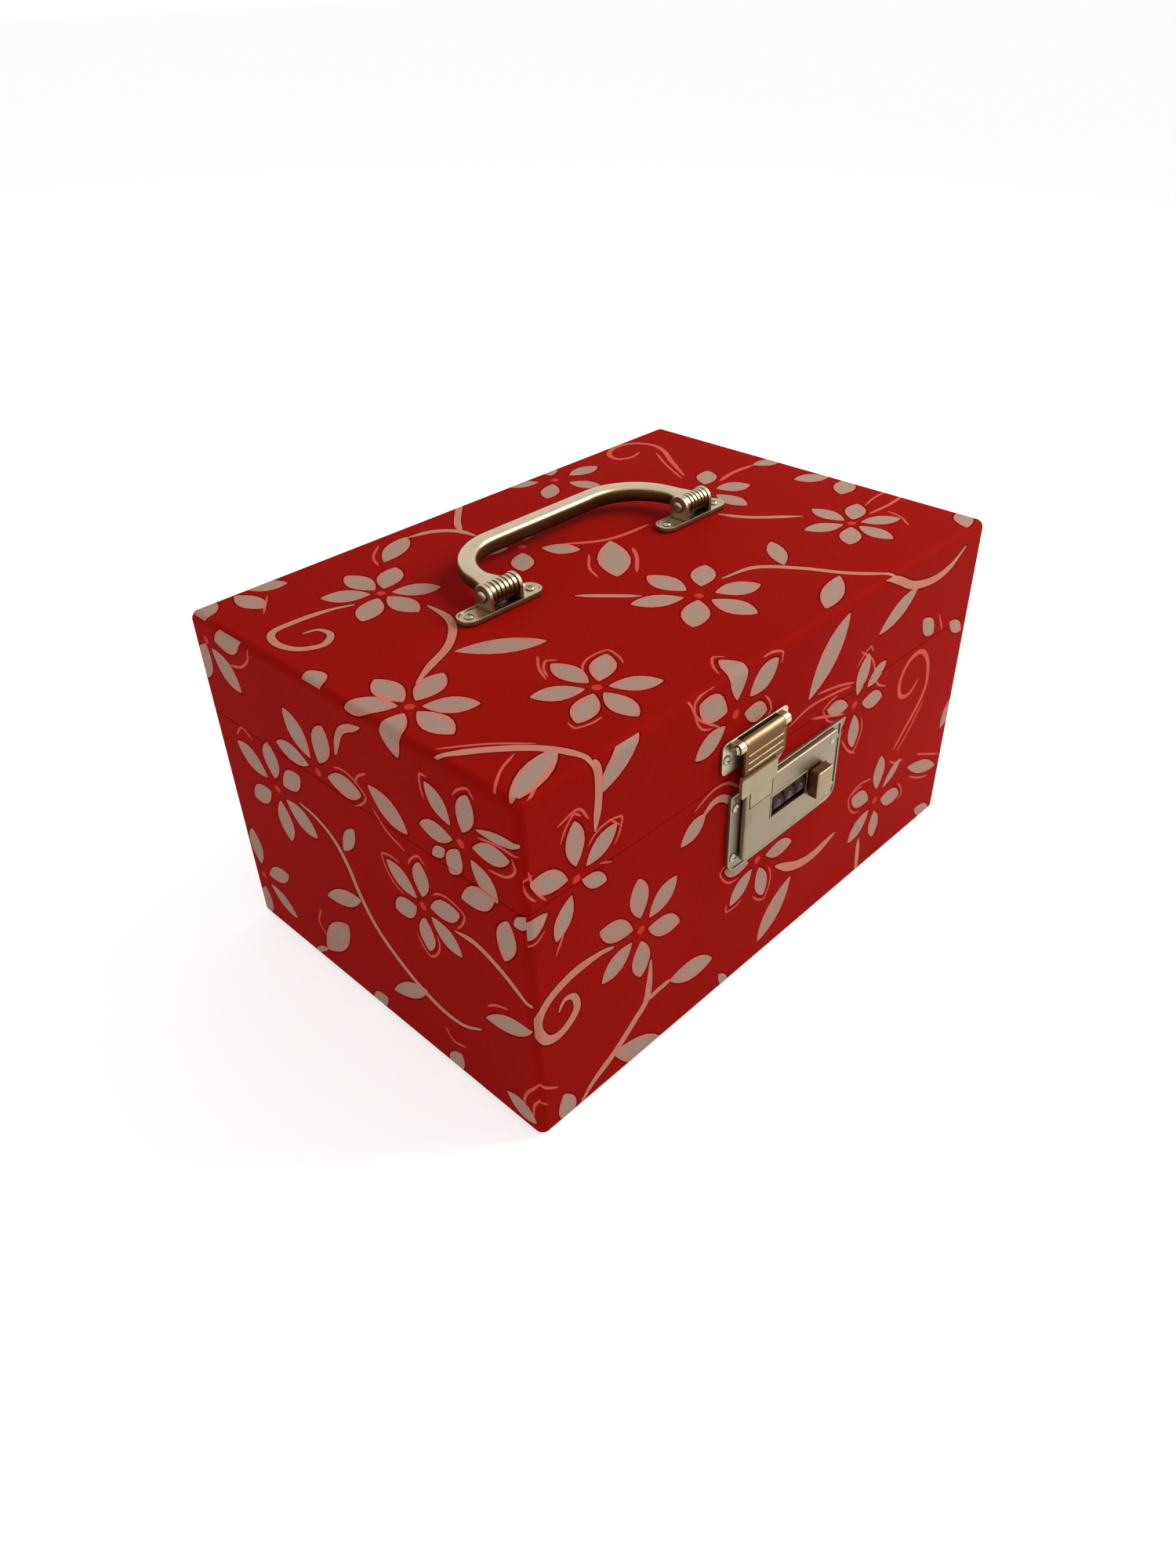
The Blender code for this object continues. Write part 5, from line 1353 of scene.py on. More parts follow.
class Solid:
    """A closed solid in the making, in millimetres."""

    def __init__(self, shape: bmesh.types.BMesh | None = None) -> None:
        """Starts empty or from a shape."""
        self.bm = bmesh.new() if shape is None else shape

    @classmethod
    def of_node(cls, node: str) -> "Solid":
        """Copies a CAD node, with its flat faces whole again.

        Args:
            node: its name.

        Returns:
            The solid.
        """
        solid = cls()
        bm = solid.bm
        bm.from_mesh(frame["nodes"][node].data)
        bmesh.ops.scale(bm, vec=(1 / MM,) * 3, verts=bm.verts)
        bmesh.ops.remove_doubles(bm, verts=bm.verts, dist=0.001)
        bmesh.ops.dissolve_limit(bm, angle_limit=math.radians(1.0), verts=bm.verts, edges=bm.edges)
        return solid

    @classmethod
    def lofted(cls, rings: Iterable[Iterable[Vector]]) -> "Solid":
        """Spans a solid through rings, closed at both ends.

        Args:
            rings: the rings, each with the same number of points.

        Returns:
            The solid.
        """
        solid = cls()
        made = [[solid.bm.verts.new(point) for point in ring] for ring in rings]
        for low, high in zip(made, made[1:]):
            for corners in zip(low, [*low[1:], low[0]], [*high[1:], high[0]], high):
                solid.bm.faces.new(corners)
        solid.bm.faces.new(made[0])
        solid.bm.faces.new(made[-1])
        return solid.settled()

    @classmethod
    def prism(cls, plane: Plane, outline: Sequence[Point], near: float, far: float) -> "Solid":
        """An outline on a plane, from near to far outward."""
        return cls.lofted([plane.point(*p, out) for p in outline] for out in (near, far))

    @classmethod
    def turned(cls, start: Place, profile: Sequence[Point], sides: int, way: Place = (1, 0, 0)) -> "Solid":
        """A solid of revolution.

        Args:
            start: where its axis starts.
            profile: points as (distance along the axis, radius).
            sides: facets round it.
            way: the direction of its axis.

        Returns:
            The solid.
        """
        turn = Vector(way).to_track_quat("Z", "Y").to_matrix()
        circle = [(math.cos(math.tau * i / sides), math.sin(math.tau * i / sides)) for i in range(sides)]
        return cls.lofted(
            [Vector(start) + turn @ Vector((radius * c, radius * s, along)) for c, s in circle]
            for along, radius in profile
        )

    @classmethod
    def rod(cls, start: Place, length: float, radius: float, sides: int = 16) -> "Solid":
        """A plain rod along x."""
        return cls.turned(start, [(0, radius), (length, radius)], sides)

    def settled(self) -> "Solid":
        """Turns every face outward.

        Returns:
            The same solid.
        """
        self.bm.normal_update()
        bmesh.ops.recalc_face_normals(self.bm, faces=self.bm.faces)
        return self

    def sunk(self, height: float, rim: float, slope: float, depth: float) -> "Solid":
        """Sinks the middle of the top face so that a rim stands round it.

        Args:
            height: how high the top face is.
            rim: the rim's width.
            slope: the width of the slope inside it.
            depth: how deep the middle goes.

        Returns:
            The same solid.
        """
        near, upright = 0.01, 0.9
        level = [f for f in self.bm.faces if abs(f.calc_center_median().z - height) < near]
        faces = [f for f in level if f.normal.z > upright]
        for width, rise in ((rim, 0.0), (slope, -depth)):
            bmesh.ops.inset_region(self.bm, faces=faces, thickness=width, depth=rise, use_even_offset=True)
        return self

    def eased(self, width: float, steps: int = 2, angle: float = 50.0) -> "Solid":
        """Rounds the edges that turn more than an angle.

        Args:
            width: how far the rounding reaches.
            steps: its segments.
            angle: the angle, in degrees.

        Returns:
            The same solid.
        """
        limit = math.radians(angle)
        sharp = [e for e in self.bm.edges if len(e.link_faces) == 2 and e.calc_face_angle(0.0) > limit]
        bmesh.ops.bevel(
            self.bm, geom=sharp, offset=width, segments=steps, profile=0.5, affect="EDGES", clamp_overlap=True
        )
        return self

    def beside(self, other: "Solid", material: int) -> "Solid":
        """Puts another solid in the same piece as it is, and uses it up.

        Args:
            other: the other solid.
            material: the number of its material.

        Returns:
            The same solid.
        """
        for face in other.bm.faces:
            face.material_index = material
        passing = other.as_object()
        self.bm.from_mesh(passing.data)
        bpy.data.batch_remove([passing, passing.data])
        return self

    def with_added(self, *others: "Solid") -> "Solid":
        """Joins other solids on."""
        return self._combined("UNION", others)

    def cut_by(self, *others: "Solid") -> "Solid":
        """Takes other solids away."""
        return self._combined("DIFFERENCE", others)

    def as_object(self) -> bpy.types.Object:
        """Turns the solid into a passing object, which uses it up.

        Returns:
            The object.
        """
        mesh = bpy.data.meshes.new("passing")
        self.bm.to_mesh(mesh)
        self.bm.free()
        return linked("passing", mesh)

    def _combined(self, operation: str, others: Sequence["Solid"]) -> "Solid":
        """Runs Boolean modifiers with the other solids, which are used up.

        Args:
            operation: UNION or DIFFERENCE.
            others: the other solids.

        Returns:
            The same solid.
        """
        target, tools = self.as_object(), [other.as_object() for other in others]
        for tool in tools:
            modifier = target.modifiers.new("combine", "BOOLEAN")
            modifier.operation = operation
            modifier.solver = "EXACT"
            modifier.object = tool
        self.bm = evaluated(target)
        bpy.data.batch_remove([item for obj in (target, *tools) for item in (obj, obj.data)])
        bmesh.ops.remove_doubles(self.bm, verts=self.bm.verts, dist=0.002)
        return self

    def piece(
        self, name: str, body: str, node: str, *finishes: Finish, slot: str = METAL, angle: float = 40.0
    ) -> bpy.types.Object:
        """Takes the solid out as a piece, with normals that follow its large faces.

        Args:
            name: the piece's name.
            body: the body it rides on.
            node: the CAD node it stands for, if any.
            finishes: one finish for each material number.
            slot: the record's material slot.
            angle: edges sharper than this are shaded sharp.

        Returns:
            The new object.
        """
        bmesh.ops.scale(self.bm, vec=(MM,) * 3, verts=self.bm.verts)
        passing = self.as_object()
        raw = passing.data
        raw.polygons.foreach_set("use_smooth", [True] * len(raw.polygons))
        raw.set_sharp_from_angle(angle=math.radians(angle))
        passing.modifiers.new("weigh", "WEIGHTED_NORMAL").keep_sharp = True
        done = passing.evaluated_get(bpy.context.evaluated_depsgraph_get())
        mesh = bpy.data.meshes.new_from_object(done)
        bpy.data.batch_remove([passing, raw])
        mesh.name = name
        return as_piece(name, mesh, body, slot, node, *finishes)


# The fittings


@dataclass(frozen=True)
class Eased:
    """CAD nodes that keep their shape but get rounded edges and a finish."""

    body: str
    slot: str
    finish: Finish
    width: float
    nodes: tuple[str, ...]
    steps: int = 2
    laid_under: str = ""

    def build(self) -> None:
        """Replaces each node by its eased copy."""
        for node in self.nodes:
            solid = Solid.of_node(node).eased(self.width, self.steps, angle=30.0)
            piece = solid.piece(node + "_dressed", self.body, node, self.finish, slot=self.slot, angle=50.0)


@dataclass
class Screws:
    """Cross-slotted round-headed screws."""

    radius: float = 2.1
    height: float = 1.1
    skirt: tuple[Point, ...] = ((-0.25, 0.5), (0.0, 0.97), (0.12, 1.0))
    dome_steps: int = 5
    dome_reach: float = 5.4
    dome_fullness: float = 0.7
    sides: int = 20
    slot_length: float = 2.7
    slot_width: float = 0.5
    slot_depth: float = 0.55

    def build(self, node: str, body: str, seat: Place, out: Plane, turn: float) -> None:
        """Adds one screw's head in place of its CAD node.

        Args:
            node: the screw's node.
            body: what it rides on.
            seat: where the head rests.
            out: the plane that it stands on.
            turn: how far it was driven round, in degrees.
        """
        way = Vector(out.value[2])
        profile = [(along, self.radius * share) for along, share in self.skirt]
        skirt = self.skirt[-1][0]
        for index in range(1, self.dome_steps + 1):
            angle = math.radians(90 * index / self.dome_reach)
            rise = skirt + (self.height - skirt) * math.sin(angle)
            profile.append((rise, self.radius * math.cos(angle) ** self.dome_fullness))
        quarter = Matrix.Rotation(math.radians(turn), 3, way)
        across, up = (quarter @ Vector(v) for v in out.value[:2])
        base = Vector(seat) + way * (self.height - self.slot_depth)
        corners, slots = ((-1, -1), (1, -1), (1, 1), (-1, 1)), []
        for run, side in ((across, up), (up, across)):
            reach, half = run * self.slot_length / 2, side * self.slot_width / 2
            slots.append(Solid.lofted(
                [base + way * rise + reach * a + half * b for a, b in corners] for rise in (0.0, self.height)
            ))
        head = Solid.turned(seat, profile, self.sides, out.value[2]).cut_by(*slots)
        head.piece(node + "_head", body, node, SCREW_GOLD)


@dataclass
class CarryHandle:
    """The folding handle with its two brackets, pins and screws."""

    spacing: float = 122.0
    axis_y: float = 4.0
    axis_z: float = 178.0
    reach: float = 38.0
    bend: float = 29.0
    bend_steps: int = 18
    leg_steps: int = 6
    grip_steps: int = 5
    width: float = 8.5
    thickness: float = 8.0
    slim_share: float = 0.90
    full_share: float = 1.06
    squareness: float = 3.0
    strap_sides: int = 28
    flare_width: float = 13.4
    flare_height: float = 8.16
    flare_reach: float = 13.0
    eye_radius: float = 4.8
    eye_length: float = 14.0
    eye_ease: Point = (0.35, 0.5)
    rib_pitch: float = 2.3
    rib_margin: float = 1.0
    rib_depth: float = 0.55
    groove: Point = (0.55, 0.25)
    pin_radius: float = 1.5
    pin_head: tuple[Point, ...] = ((0.0, 2.6), (0.405, 2.496), (0.72, 1.95), (0.9, 0.91))
    pin_proud: float = 0.3
    pin_sides: int = 24
    foot: float = 170.3
    base_length: float = 44.0
    base_depth: float = 11.0
    base_corner: float = 5.1
    base_steps: int = 8
    base_ease: float = 0.3
    base_thickness: float = 1.8
    rim_width: float = 0.9
    rim_slope: float = 0.5
    rim_height: float = 0.55
    ear_thickness: float = 1.7
    ear_radius: float = 5.2
    ear_flare: float = 0.25
    ear_step: int = 12
    ear_ease: float = 0.4
    ear_gap: float = 0.3
    screw_spacing: float = 34.0
    screw_turns: tuple[float, ...] = (57.0, 94.0, 131.0, 168.0)

    def path(self) -> list[Vector]:
        """The centre line of the strap, lying back, from the right eye to the left one.

        Returns:
            Its points.
        """
        half, corner, far = self.spacing / 2, self.reach - self.bend, self.axis_y + self.reach
        straight = half - self.bend
        centre = Vector((straight, self.axis_y + corner))
        legs, grips = self.leg_steps, self.grip_steps
        points = [Vector((half, self.axis_y + corner * i / legs)) for i in range(legs)]
        for index in range(self.bend_steps + 1):
            angle = math.radians(90 * index / self.bend_steps)
            points.append(centre + Vector((math.cos(angle), math.sin(angle))) * self.bend)
        points += [Vector((straight * (1 - i / grips), far)) for i in range(1, grips)]
        return points + [Vector((0, far))] + [Vector((-p.x, p.y)) for p in reversed(points)]

    def strap(self) -> Solid:
        """The strap: a soft rectangle swept along its path, fuller in the grip and flared at the eyes.

        Returns:
            The solid.
        """
        path, rings, power = self.path(), [], 2 / self.squareness
        angles = [math.tau * i / self.strap_sides for i in range(self.strap_sides)]
        soft = [[math.copysign(abs(w(a)) ** power, w(a)) for w in (math.cos, math.sin)] for a in angles]
        for before, point, after in zip([path[0], *path], path, [*path[1:], path[-1]]):
            run = (after - before).normalized()
            side = Vector((run.y, -run.x, 0))
            forth = point.y - self.axis_y
            full = self.slim_share + (self.full_share - self.slim_share) * (forth / self.reach)
            at_eye = abs(point.x) > self.spacing / 2 - self.bend
            near = max(0.0, 1 - forth / self.flare_reach) if at_eye else 0.0
            flare = near * near * (3 - 2 * near)
            width = self.width * full + (self.flare_width - self.width * full) * flare
            height = self.thickness * full + (self.flare_height - self.thickness * full) * flare
            middle = Vector((point.x, point.y, self.axis_z))
            rings.append([middle + side * (u * width / 2) + Vector((0, 0, v * height / 2)) for u, v in soft])
        return Solid.lofted(rings)

    def eye(self, x: float) -> Solid:
        """A ribbed eye across one end of the strap.

        Args:
            x: its middle.

        Returns:
            The solid.
        """
        half, radius, (ease, drop) = self.eye_length / 2, self.eye_radius, self.eye_ease
        profile = [(-half, radius - drop), (-half + ease, radius)]
        count = int((half * 2 - self.rib_margin * 2) // self.rib_pitch)
        wide, narrow = self.groove
        for index in range(count):
            at = (index - (count - 1) / 2) * self.rib_pitch
            deep = radius - self.rib_depth
            profile += [(at - wide, radius), (at - narrow, deep), (at + narrow, deep), (at + wide, radius)]
        profile += [(half - ease, radius), (half, radius - drop)]
        return Solid.turned((x, self.axis_y, self.axis_z), profile, self.strap_sides)

    def bore(self, x: float, reach: float) -> Solid:
        """A cutter for the pin's hole."""
        return Solid.rod((x - reach, self.axis_y, self.axis_z), reach * 2, self.pin_radius + self.ear_gap)

    def bracket(self, x: float) -> Solid:
        """A rimmed foot and two ears with a boss round the pin.

        Args:
            x: its middle.

        Returns:
            The solid.
        """
        half_x, half_y, y = self.base_length / 2, self.base_depth / 2, self.axis_y
        corners = (x - half_x, y - half_y), (x + half_x, y + half_y)
        outline = rounded(*corners, [self.base_corner] * 4, self.base_steps)
        top = self.foot + self.base_thickness + self.rim_height
        base = Solid.prism(Plane.TOP, outline, self.foot, top)
        base.sunk(top, self.rim_width, self.rim_slope, self.rim_height).eased(self.base_ease)
        radius, low = self.ear_radius, self.foot + self.base_thickness / 2
        turns = [math.radians(a) for a in range(0, 180 + 1, self.ear_step)]
        head = [(y + radius * math.cos(a), self.axis_z + radius * math.sin(a)) for a in turns]
        foot, ears = radius + self.ear_flare, []
        for turn in (-1, 1):
            inner = x + turn * (self.eye_length / 2 + self.ear_gap)
            outer = inner + turn * self.ear_thickness
            edge = [(y - foot, low), (y + foot, low), *head]
            ear = Solid.prism(Plane.SIDE, edge, min(inner, outer), max(inner, outer))
            ears.append(ear.eased(self.ear_ease, steps=3, angle=40))
        return base.with_added(*ears).cut_by(self.bore(x, half_x))

    def pin(self, x: float) -> Solid:
        """A pin with a low round head at each end.

        Args:
            x: its middle.

        Returns:
            The solid.
        """
        half = self.eye_length / 2 + self.ear_gap + self.ear_thickness + self.pin_proud
        end = [(half + along, radius) for along, radius in self.pin_head]
        start = [(-along, radius) for along, radius in reversed(end)]
        profile = [*start, (-half, self.pin_radius), (half, self.pin_radius), *end]
        return Solid.turned((x, self.axis_y, self.axis_z), profile, self.pin_sides)

    def build(self) -> None:
        """Adds the handle, brackets, pins and screws."""
        ends = {"left": -self.spacing / 2, "right": self.spacing / 2}
        bail = self.strap().with_added(*(self.eye(x) for x in ends.values()))
        bail = bail.cut_by(*(self.bore(x, self.eye_length) for x in ends.values()))
        bail.piece("handle_bail", "handle", "carry_handle", HANDLE_GOLD)
        screws, number = Screws(), 0
        for side, x in ends.items():
            self.bracket(x).piece(f"bracket_{side}", "lid", f"handle_bracket_{side}", BRACKET_GOLD)
            self.pin(x).piece(f"bracket_pin_{side}", "lid", f"handle_pin_{side}", BRACKET_GOLD)
            for dx in (-self.screw_spacing / 2, self.screw_spacing / 2):
                number += 1
                seat = (x + dx, self.axis_y, self.foot + self.base_thickness)
                screws.build(f"bracket_screw_{number}", "lid", seat, Plane.TOP, self.screw_turns[number - 1])


@dataclass
class DialLock:
    """The lock on the front: its plate, cap, dials, button and screws."""

    plate_half: float = 39.0
    plate_low: float = 72.0
    plate_high: float = 113.0
    plate_face: float = 102.8
    plate_corners: tuple[float, ...] = (6.0, 6.0, 2.0, 2.0)
    plate_rim: float = 1.1
    plate_rim_height: float = 0.6
    plate_rim_root: float = 0.4
    plate_rim_ease: float = 0.25
    cap_face: float = 106.2
    cap_ease: float = 0.45
    button_ease: float = 0.5
    screw_inset: Point = (3.8, 7.5)
    screw_turns: tuple[float, ...] = (68.0, 121.0, 174.0, 227.0)
    rivet: tuple[Point, ...] = ((-0.5, 0.78), (0.0, 1.3), (0.25, 1.222), (0.425, 0.91), (0.5, 0.455))
    rivets: tuple[Point, ...] = ((27.6, 108.2), (27.6, 81.2))
    window: tuple[Point, Point] = ((-14.75, 90.6), (10.25, 101.4))
    lip_width: float = 0.7
    lip_by_button: float = 0.5
    lip_height: float = 0.22
    lip_root: float = 0.3
    lip_ease: float = 0.1
    lip_corner: float = 0.9
    window_corner: float = 0.3
    dial_axis: Point = (-101.9, 96.0)
    dial_radius: float = 4.9
    dial_band: float = 4.72
    band_sides: int = 60
    dial_width: float = 7.2
    dial_rim: float = 1.3
    dial_teeth: int = 20
    tooth_depth: float = 0.45
    dial_centres: tuple[float, ...] = (-10.15, -2.25, 5.65)
    shaft_bore: float = 1.2
    digits: int = 10
    digit_size: float = 4.7
    digit_proud: float = 0.07
    digit_steps: int = 3

    def build(self) -> None:
        """Adds every piece of the lock."""
        self._plate()
        self._cap()
        for number, x in enumerate(self.dial_centres, 1):
            self._dial(number, x)
        button = Solid.of_node("slide_button").eased(self.button_ease, steps=3, angle=30.0)
        button.piece("latch_button", "latch", "slide_button", BUTTON_GOLD, angle=50.0)
        out, inset = self.plate_half - self.screw_inset[0], self.screw_inset[1]
        heights = (self.plate_low + inset, self.plate_high - inset)
        seats = [(x, -self.plate_face, z) for x in (-out, out) for z in heights]
        screws = Screws()
        for number, (seat, turn) in enumerate(zip(seats, self.screw_turns), 1):
            screws.build(f"lock_screw_{number}", "base", seat, Plane.FRONT, turn)

    @staticmethod
    def _ring(
        outer: list[Point], inner: list[Point], face: float, root: float, rise: float, ease: float
    ) -> Solid:
        """A ring between two outlines that stands on a face.

        Args:
            outer: the outline round it.
            inner: the outline inside it.
            face: where the face is, outward.
            root: how deep the ring starts in the face.
            rise: how far it stands out.
            ease: the rounding of its edges.

        Returns:
            The ring.
        """
        beyond = 2
        ring = Solid.prism(Plane.FRONT, outer, face - root, face + rise)
        return ring.cut_by(Solid.prism(Plane.FRONT, inner, face - beyond, face + beyond)).eased(ease)

    def _plate(self) -> None:
        """The plate, with a rim round its edge."""
        out, low, high, rim = self.plate_half, self.plate_low, self.plate_high, self.plate_rim
        outer = rounded((-out, low), (out, high), self.plate_corners, steps=6)
        inner_corners = [radius - rim for radius in self.plate_corners]
        inner = rounded((rim - out, low + rim), (out - rim, high - rim), inner_corners, steps=6)
        root, rise, ease = self.plate_rim_root, self.plate_rim_height, self.plate_rim_ease
        ring = self._ring(outer, inner, self.plate_face, root, rise, ease)
        plate = Solid.of_node("lock_base_plate").with_added(ring)
        plate.piece("lock_plate_pressed", "base", "lock_base_plate", GOLD)

    def _cap(self) -> None:
        """The cap with soft edges, a lip round its window, and two rivets."""
        face, width, (low, high) = self.cap_face, self.lip_width, self.window
        far = (high[0] + self.lip_by_button, high[1] + width)
        outer = rounded((low[0] - width, low[1] - width), far, (self.lip_corner,) * 4, steps=3)
        inner = rounded(low, high, (self.window_corner,) * 4, steps=2)
        lip = self._ring(outer, inner, face, self.lip_root, self.lip_height, self.lip_ease)
        cap = Solid.of_node("lock_cap").eased(self.cap_ease, steps=3).with_added(lip)
        cap.piece("lock_cap_pressed", "base", "lock_cap", GOLD)
        for number, (x, z) in enumerate(self.rivets, 1):
            rivet = Solid.turned((x, -face, z), self.rivet, sides=20, way=(0, -1, 0))
            rivet.piece(f"cap_rivet_{number}", "base", "", SCREW_GOLD)

    def _dial(self, number: int, x: float) -> None:
        """One dial: two toothed rims and a smooth band with the digits.

        Args:
            number: which dial, from 1.
            x: its middle.
        """
        half, rim = self.dial_width / 2, self.dial_rim
        dial = self._toothed(x - half, x - half + rim)
        start, length = (x - half + rim / 2, *self.dial_axis), self.dial_width - rim
        band = Solid.rod(start, length, self.dial_band, self.band_sides)
        dial = dial.with_added(band, self._toothed(x + half - rim, x + half))
        beyond = 1
        start, length = (x - half - beyond, *self.dial_axis), self.dial_width + beyond * 2
        dial = dial.cut_by(Solid.rod(start, length, self.shaft_bore))
        for digit in range(self.digits):
            dial.beside(self._digit(str(digit), x, 360 / self.digits * digit), 1)
        dial.piece(
            f"dial_drum_{number}", f"dial_{number}", f"number_dial_{number}", DIAL, DIGIT, slot="dial_black"
        )

    def _toothed(self, left: float, right: float) -> Solid:
        """A toothed rim.

        Args:
            left: where it starts along the axis.
            right: where it ends.

        Returns:
            The solid.
        """
        y, z = self.dial_axis
        points, corners = [], 4
        count = self.dial_teeth * corners
        for index in range(count):
            low = index % corners >= corners / 2
            radius = self.dial_radius - (self.tooth_depth if low else 0.0)
            angle = math.tau * (index + 0.5) / count
            points.append((y + radius * math.cos(angle), z + radius * math.sin(angle)))
        return Solid.prism(Plane.SIDE, points, left, right)

    def _digit(self, text: str, x: float, angle: float) -> Solid:
        """A digit bent round the band.

        Args:
            text: the digit.
            x: the band's middle.
            angle: degrees up round the band from the front.

        Returns:
            The digit's solid.
        """
        curve = bpy.data.curves.new("digit", "FONT")
        curve.body, curve.size = text, self.digit_size
        curve.align_x, curve.align_y = "CENTER", "CENTER"
        curve.extrude, curve.resolution_u = self.digit_proud, self.digit_steps
        obj = linked("digit", curve)
        solid = Solid(evaluated(obj))
        bpy.data.batch_remove([obj, curve])
        bmesh.ops.remove_doubles(solid.bm, verts=solid.bm.verts, dist=0.001)
        y, z = self.dial_axis
        for vert in solid.bm.verts:
            turn = math.radians(angle) + vert.co.y / self.dial_band
            radius = self.dial_band + vert.co.z
            vert.co = Vector((x + vert.co.x, y - radius * math.cos(turn), z + radius * math.sin(turn)))
        return solid.settled()


@dataclass
class Hasp:
    """The hasp and its hinge plate on the lid. Each screw is its x, its height and how far it was driven."""

    rib_face: float = 106.65
    rib_middle: float = -22.7
    rib_half: float = 11.85
    rib_end: tuple[Point, ...] = ((0.0, 0.217), (0.25, 0.496), (0.7, 0.62))
    ribs: tuple[float, ...] = (131.9, 128.3, 125.2)
    screws: tuple[Place, ...] = ((-42.9, 133.2, 70.0), (-24.5, 128.8, 140.0))
    plate_face: float = 102.8
    ease: float = 0.3
    plate_ease: float = 0.25
    pin_ease: float = 0.35

    def build(self) -> None:
        """Adds the hasp, its plate, pin and screws."""
        profile = [*self.rib_end, *((self.rib_half * 2 - along, r) for along, r in reversed(self.rib_end))]
        left = self.rib_middle - self.rib_half
        ribs = [Solid.turned((left, -self.rib_face, z), profile, sides=16) for z in self.ribs]
        hasp = Solid.of_node("hasp").eased(self.ease).with_added(*ribs)
        hasp.piece("hasp_pressed", "hasp", "hasp", HASP_GOLD)
        plate = Solid.of_node("hasp_hinge_plate").eased(self.plate_ease)
        plate.piece("hasp_plate_pressed", "lid", "hasp_hinge_plate", HINGE_PLATE)
        pin = Solid.of_node("hasp_pin").eased(self.pin_ease, steps=3)
        pin.piece("hasp_pin_turned", "lid", "hasp_pin", SCREW_GOLD)
        screws = Screws()
        for number, (x, z, turn) in enumerate(self.screws, 1):
            screws.build(f"hasp_screw_{number}", "lid", (x, -self.plate_face, z), Plane.FRONT, turn)


@dataclass
class BackHinges:
    """The two hinges at the back, each leaf with two rivet heads."""

    from_middle: float = 95.0
    rivet_spacing: float = 20.0
    rivet_rise: float = 8.35
    seam: float = 122.0
    leaf_face: float = 102.8
    ease: float = 0.2
    rivet: tuple[Point, ...] = ((-0.3, 1.5), (0.1, 1.5), (0.4, 1.25), (0.6, 0.7))

    def build(self) -> None:
        """Adds the four leaves."""
        for side, x in (("left", -self.from_middle), ("right", self.from_middle)):
            for body, turn in (("base", -1), ("lid", 1)):
                node = f"hinge_{body}_leaf_{side}"
                leaf = Solid.of_node(node).eased(self.ease)
                for dx in (-self.rivet_spacing / 2, self.rivet_spacing / 2):
                    root = (x + dx, self.leaf_face, self.seam + turn * self.rivet_rise)
                    leaf = leaf.with_added(Solid.turned(root, self.rivet, sides=20, way=(0, 1, 0)))
                leaf.piece(f"{node}_pressed", body, node, HINGE_PLATE, slot="hinge_steel")


# Studio and camera


@dataclass
class Studio:
    """The floor, the lamps and the light all round."""

    floor_size: float = 30.0
    paper: Finish = FloorPaper("floor_paper")
    sky: float = 0.46
    aim: Place = (0.0, 0.0, 0.08)
    key: tuple[Place, float, float] = ((0.85, -0.5, 0.85), 0.8, 13.0)
    fill: tuple[Place, float, float] = ((-1.35, -0.1, 0.45), 1.3, 4.4)

    def build(self) -> None:
        """Adds them all and sets how colours are shown. Lamps are a place, a size and a power."""
        self._floor()
        self._world()
        self._lamp("key_lamp", *self.key)
        self._lamp("fill_lamp", *self.fill)
        bpy.context.scene.view_settings.view_transform = "Standard"

    def _floor(self) -> None:
        """A plain pale floor."""
        half = self.floor_size / 2
        mesh = bpy.data.meshes.new("floor")
        corners = [(-half, -half, 0), (half, -half, 0), (half, half, 0), (-half, half, 0)]
        mesh.from_pydata(corners, [], [(0, 1, 2, 3)])
        mesh.materials.append(self.paper.material)
        linked("floor", mesh)

    def _world(self) -> None:
        """White where it is seen, and soft light from all round."""
        world = bpy.data.worlds.new("studio")
        bpy.context.scene.world = world
        world.use_nodes = True
        shader = Shader(world.node_tree)
        soft, seen = (
            shader.node("Background", inputs={"Color": WHITE, "Strength": power}) for power in (self.sky, 1.0)
        )
        both = shader.node("MixShader", inputs={0: shader.seen(), 1: soft, 2: seen})
        shader.node("OutputWorld", inputs={"Surface": both})

    def _lamp(self, name: str, place: Place, size: float, power: float) -> None:
        """A square soft lamp that points at the box.

        Args:
            name: its name.
            place: where it stands.
            size: its side.
            power: its watts.
        """
        data = bpy.data.lights.new(name, "AREA")
        data.shape, data.size, data.energy = "SQUARE", size, power
        aim = Vector(self.aim) - Vector(place)
        turn = aim.to_track_quat("-Z", "Y").to_matrix().to_4x4()
        linked(name, data).matrix_world = Matrix.Translation(place) @ turn


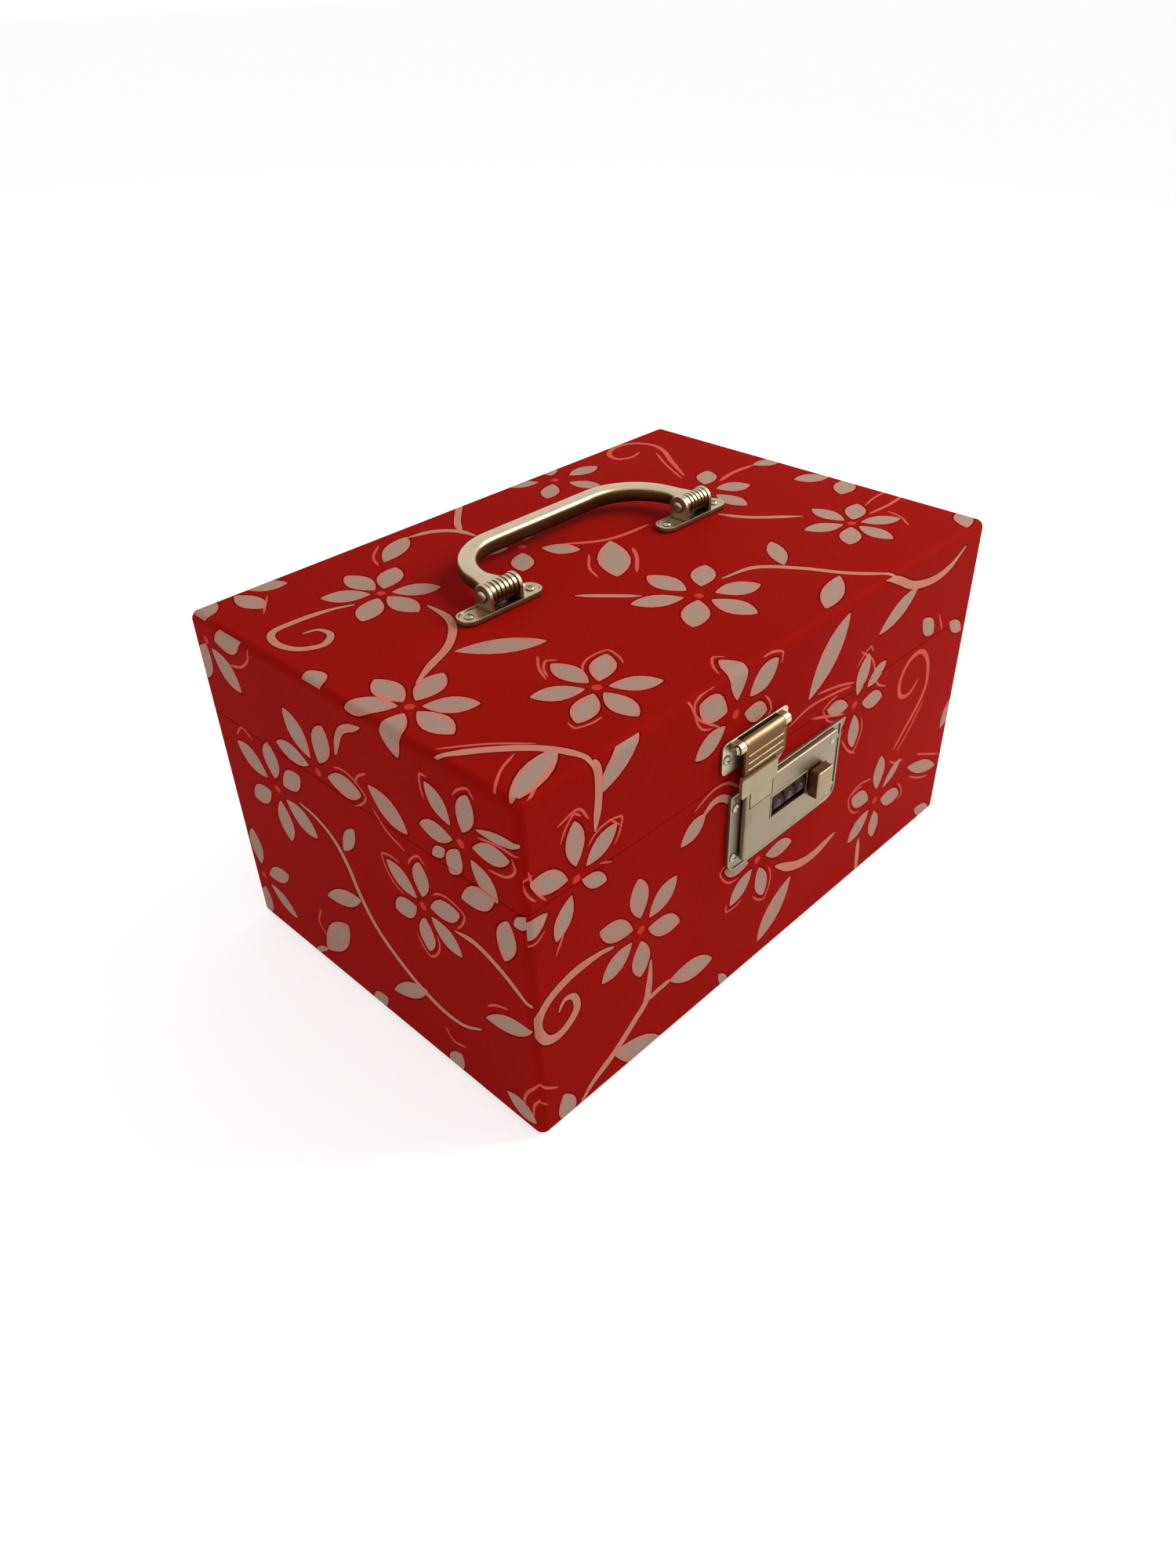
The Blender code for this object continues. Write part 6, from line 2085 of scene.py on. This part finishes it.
@dataclass
class Viewpoint:
    """The photograph's camera."""

    place: Place = (-0.3342, -0.3199, 0.3855)
    azimuth: float = -44.73
    elevation: float = 36.05
    roll: float = -1.87
    lens: float = 25.97
    sensor: float = 36.0
    nearest: float = 0.01

    def build(self) -> None:
        """Adds the camera and makes it the scene's."""
        turns = ((self.azimuth, "Z"), (90 - self.elevation, "X"), (self.roll, "Z"))
        turn, tilt, roll = (Matrix.Rotation(math.radians(angle), 4, axis) for angle, axis in turns)
        data = bpy.data.cameras.new("viewpoint")
        data.lens, data.sensor_width, data.clip_start = self.lens, self.sensor, self.nearest
        camera = linked("viewpoint", data)
        camera.matrix_world = Matrix.Translation(self.place) @ turn @ tilt @ roll
        bpy.context.scene.camera = camera


def carry_over() -> None:
    """Gives CAD nodes that stay as they are a finish by their kind."""
    kinds = {"dial_": STEEL, "latch_spring": STEEL, "lock_case": STEEL, "mirror_glass": MIRROR}
    for name, obj in frame["nodes"].items():
        finish = next((f for start, f in kinds.items() if name.startswith(start)), None)
        if finish is not None:
            obj.data.materials.clear()
            obj.data.materials.append(finish.material)


def walls(body: str, *others: str) -> tuple[str, ...]:
    """The names of a body's four walls, and of its other boards."""
    return *(f"{body}_{side}_wall" for side in ("front", "back", "left", "right")), *others


EASED = [
    Eased("base", "board", CARD, 0.3, walls("base", "base_bottom_panel")),
    Eased("lid", "board", CARD, 0.3, walls("lid", "lid_top_panel")),
    Eased("base", "under_cloth", FELT, 0.3, ("underside_sheet",), laid_under="base_bottom_panel"),
    Eased("base", "lining_cloth", VELVET, 0.4, (
        "base_lining", "locating_lip", "tray_runner_left", "tray_runner_right",
    )),
    Eased("lid", "lining_cloth", VELVET, 0.4, ("lid_lining",)),
    Eased("tray", "lining_cloth", VELVET, 0.5, ("tray_floor", "tray_walls", "tray_dividers")),
    Eased("lid", "mirror_frame", GOLD, 0.6, ("mirror_frame",), 3),
    Eased("base", "hinge_steel", HINGE_PLATE, 0.2, ("hinge_pin_left", "hinge_pin_right")),
]


def main() -> None:
    """Builds every piece, the studio and the camera."""
    logging.basicConfig(level=logging.INFO, format="%(name)s: %(message)s")
    carry_over()
    covering = Covering()
    covering.build_base()
    covering.build_lid()
    for part in (*EASED, CarryHandle(), DialLock(), Hasp(), BackHinges(), Studio(), Viewpoint()):
        part.build()


if __name__ == "__main__":
    main()
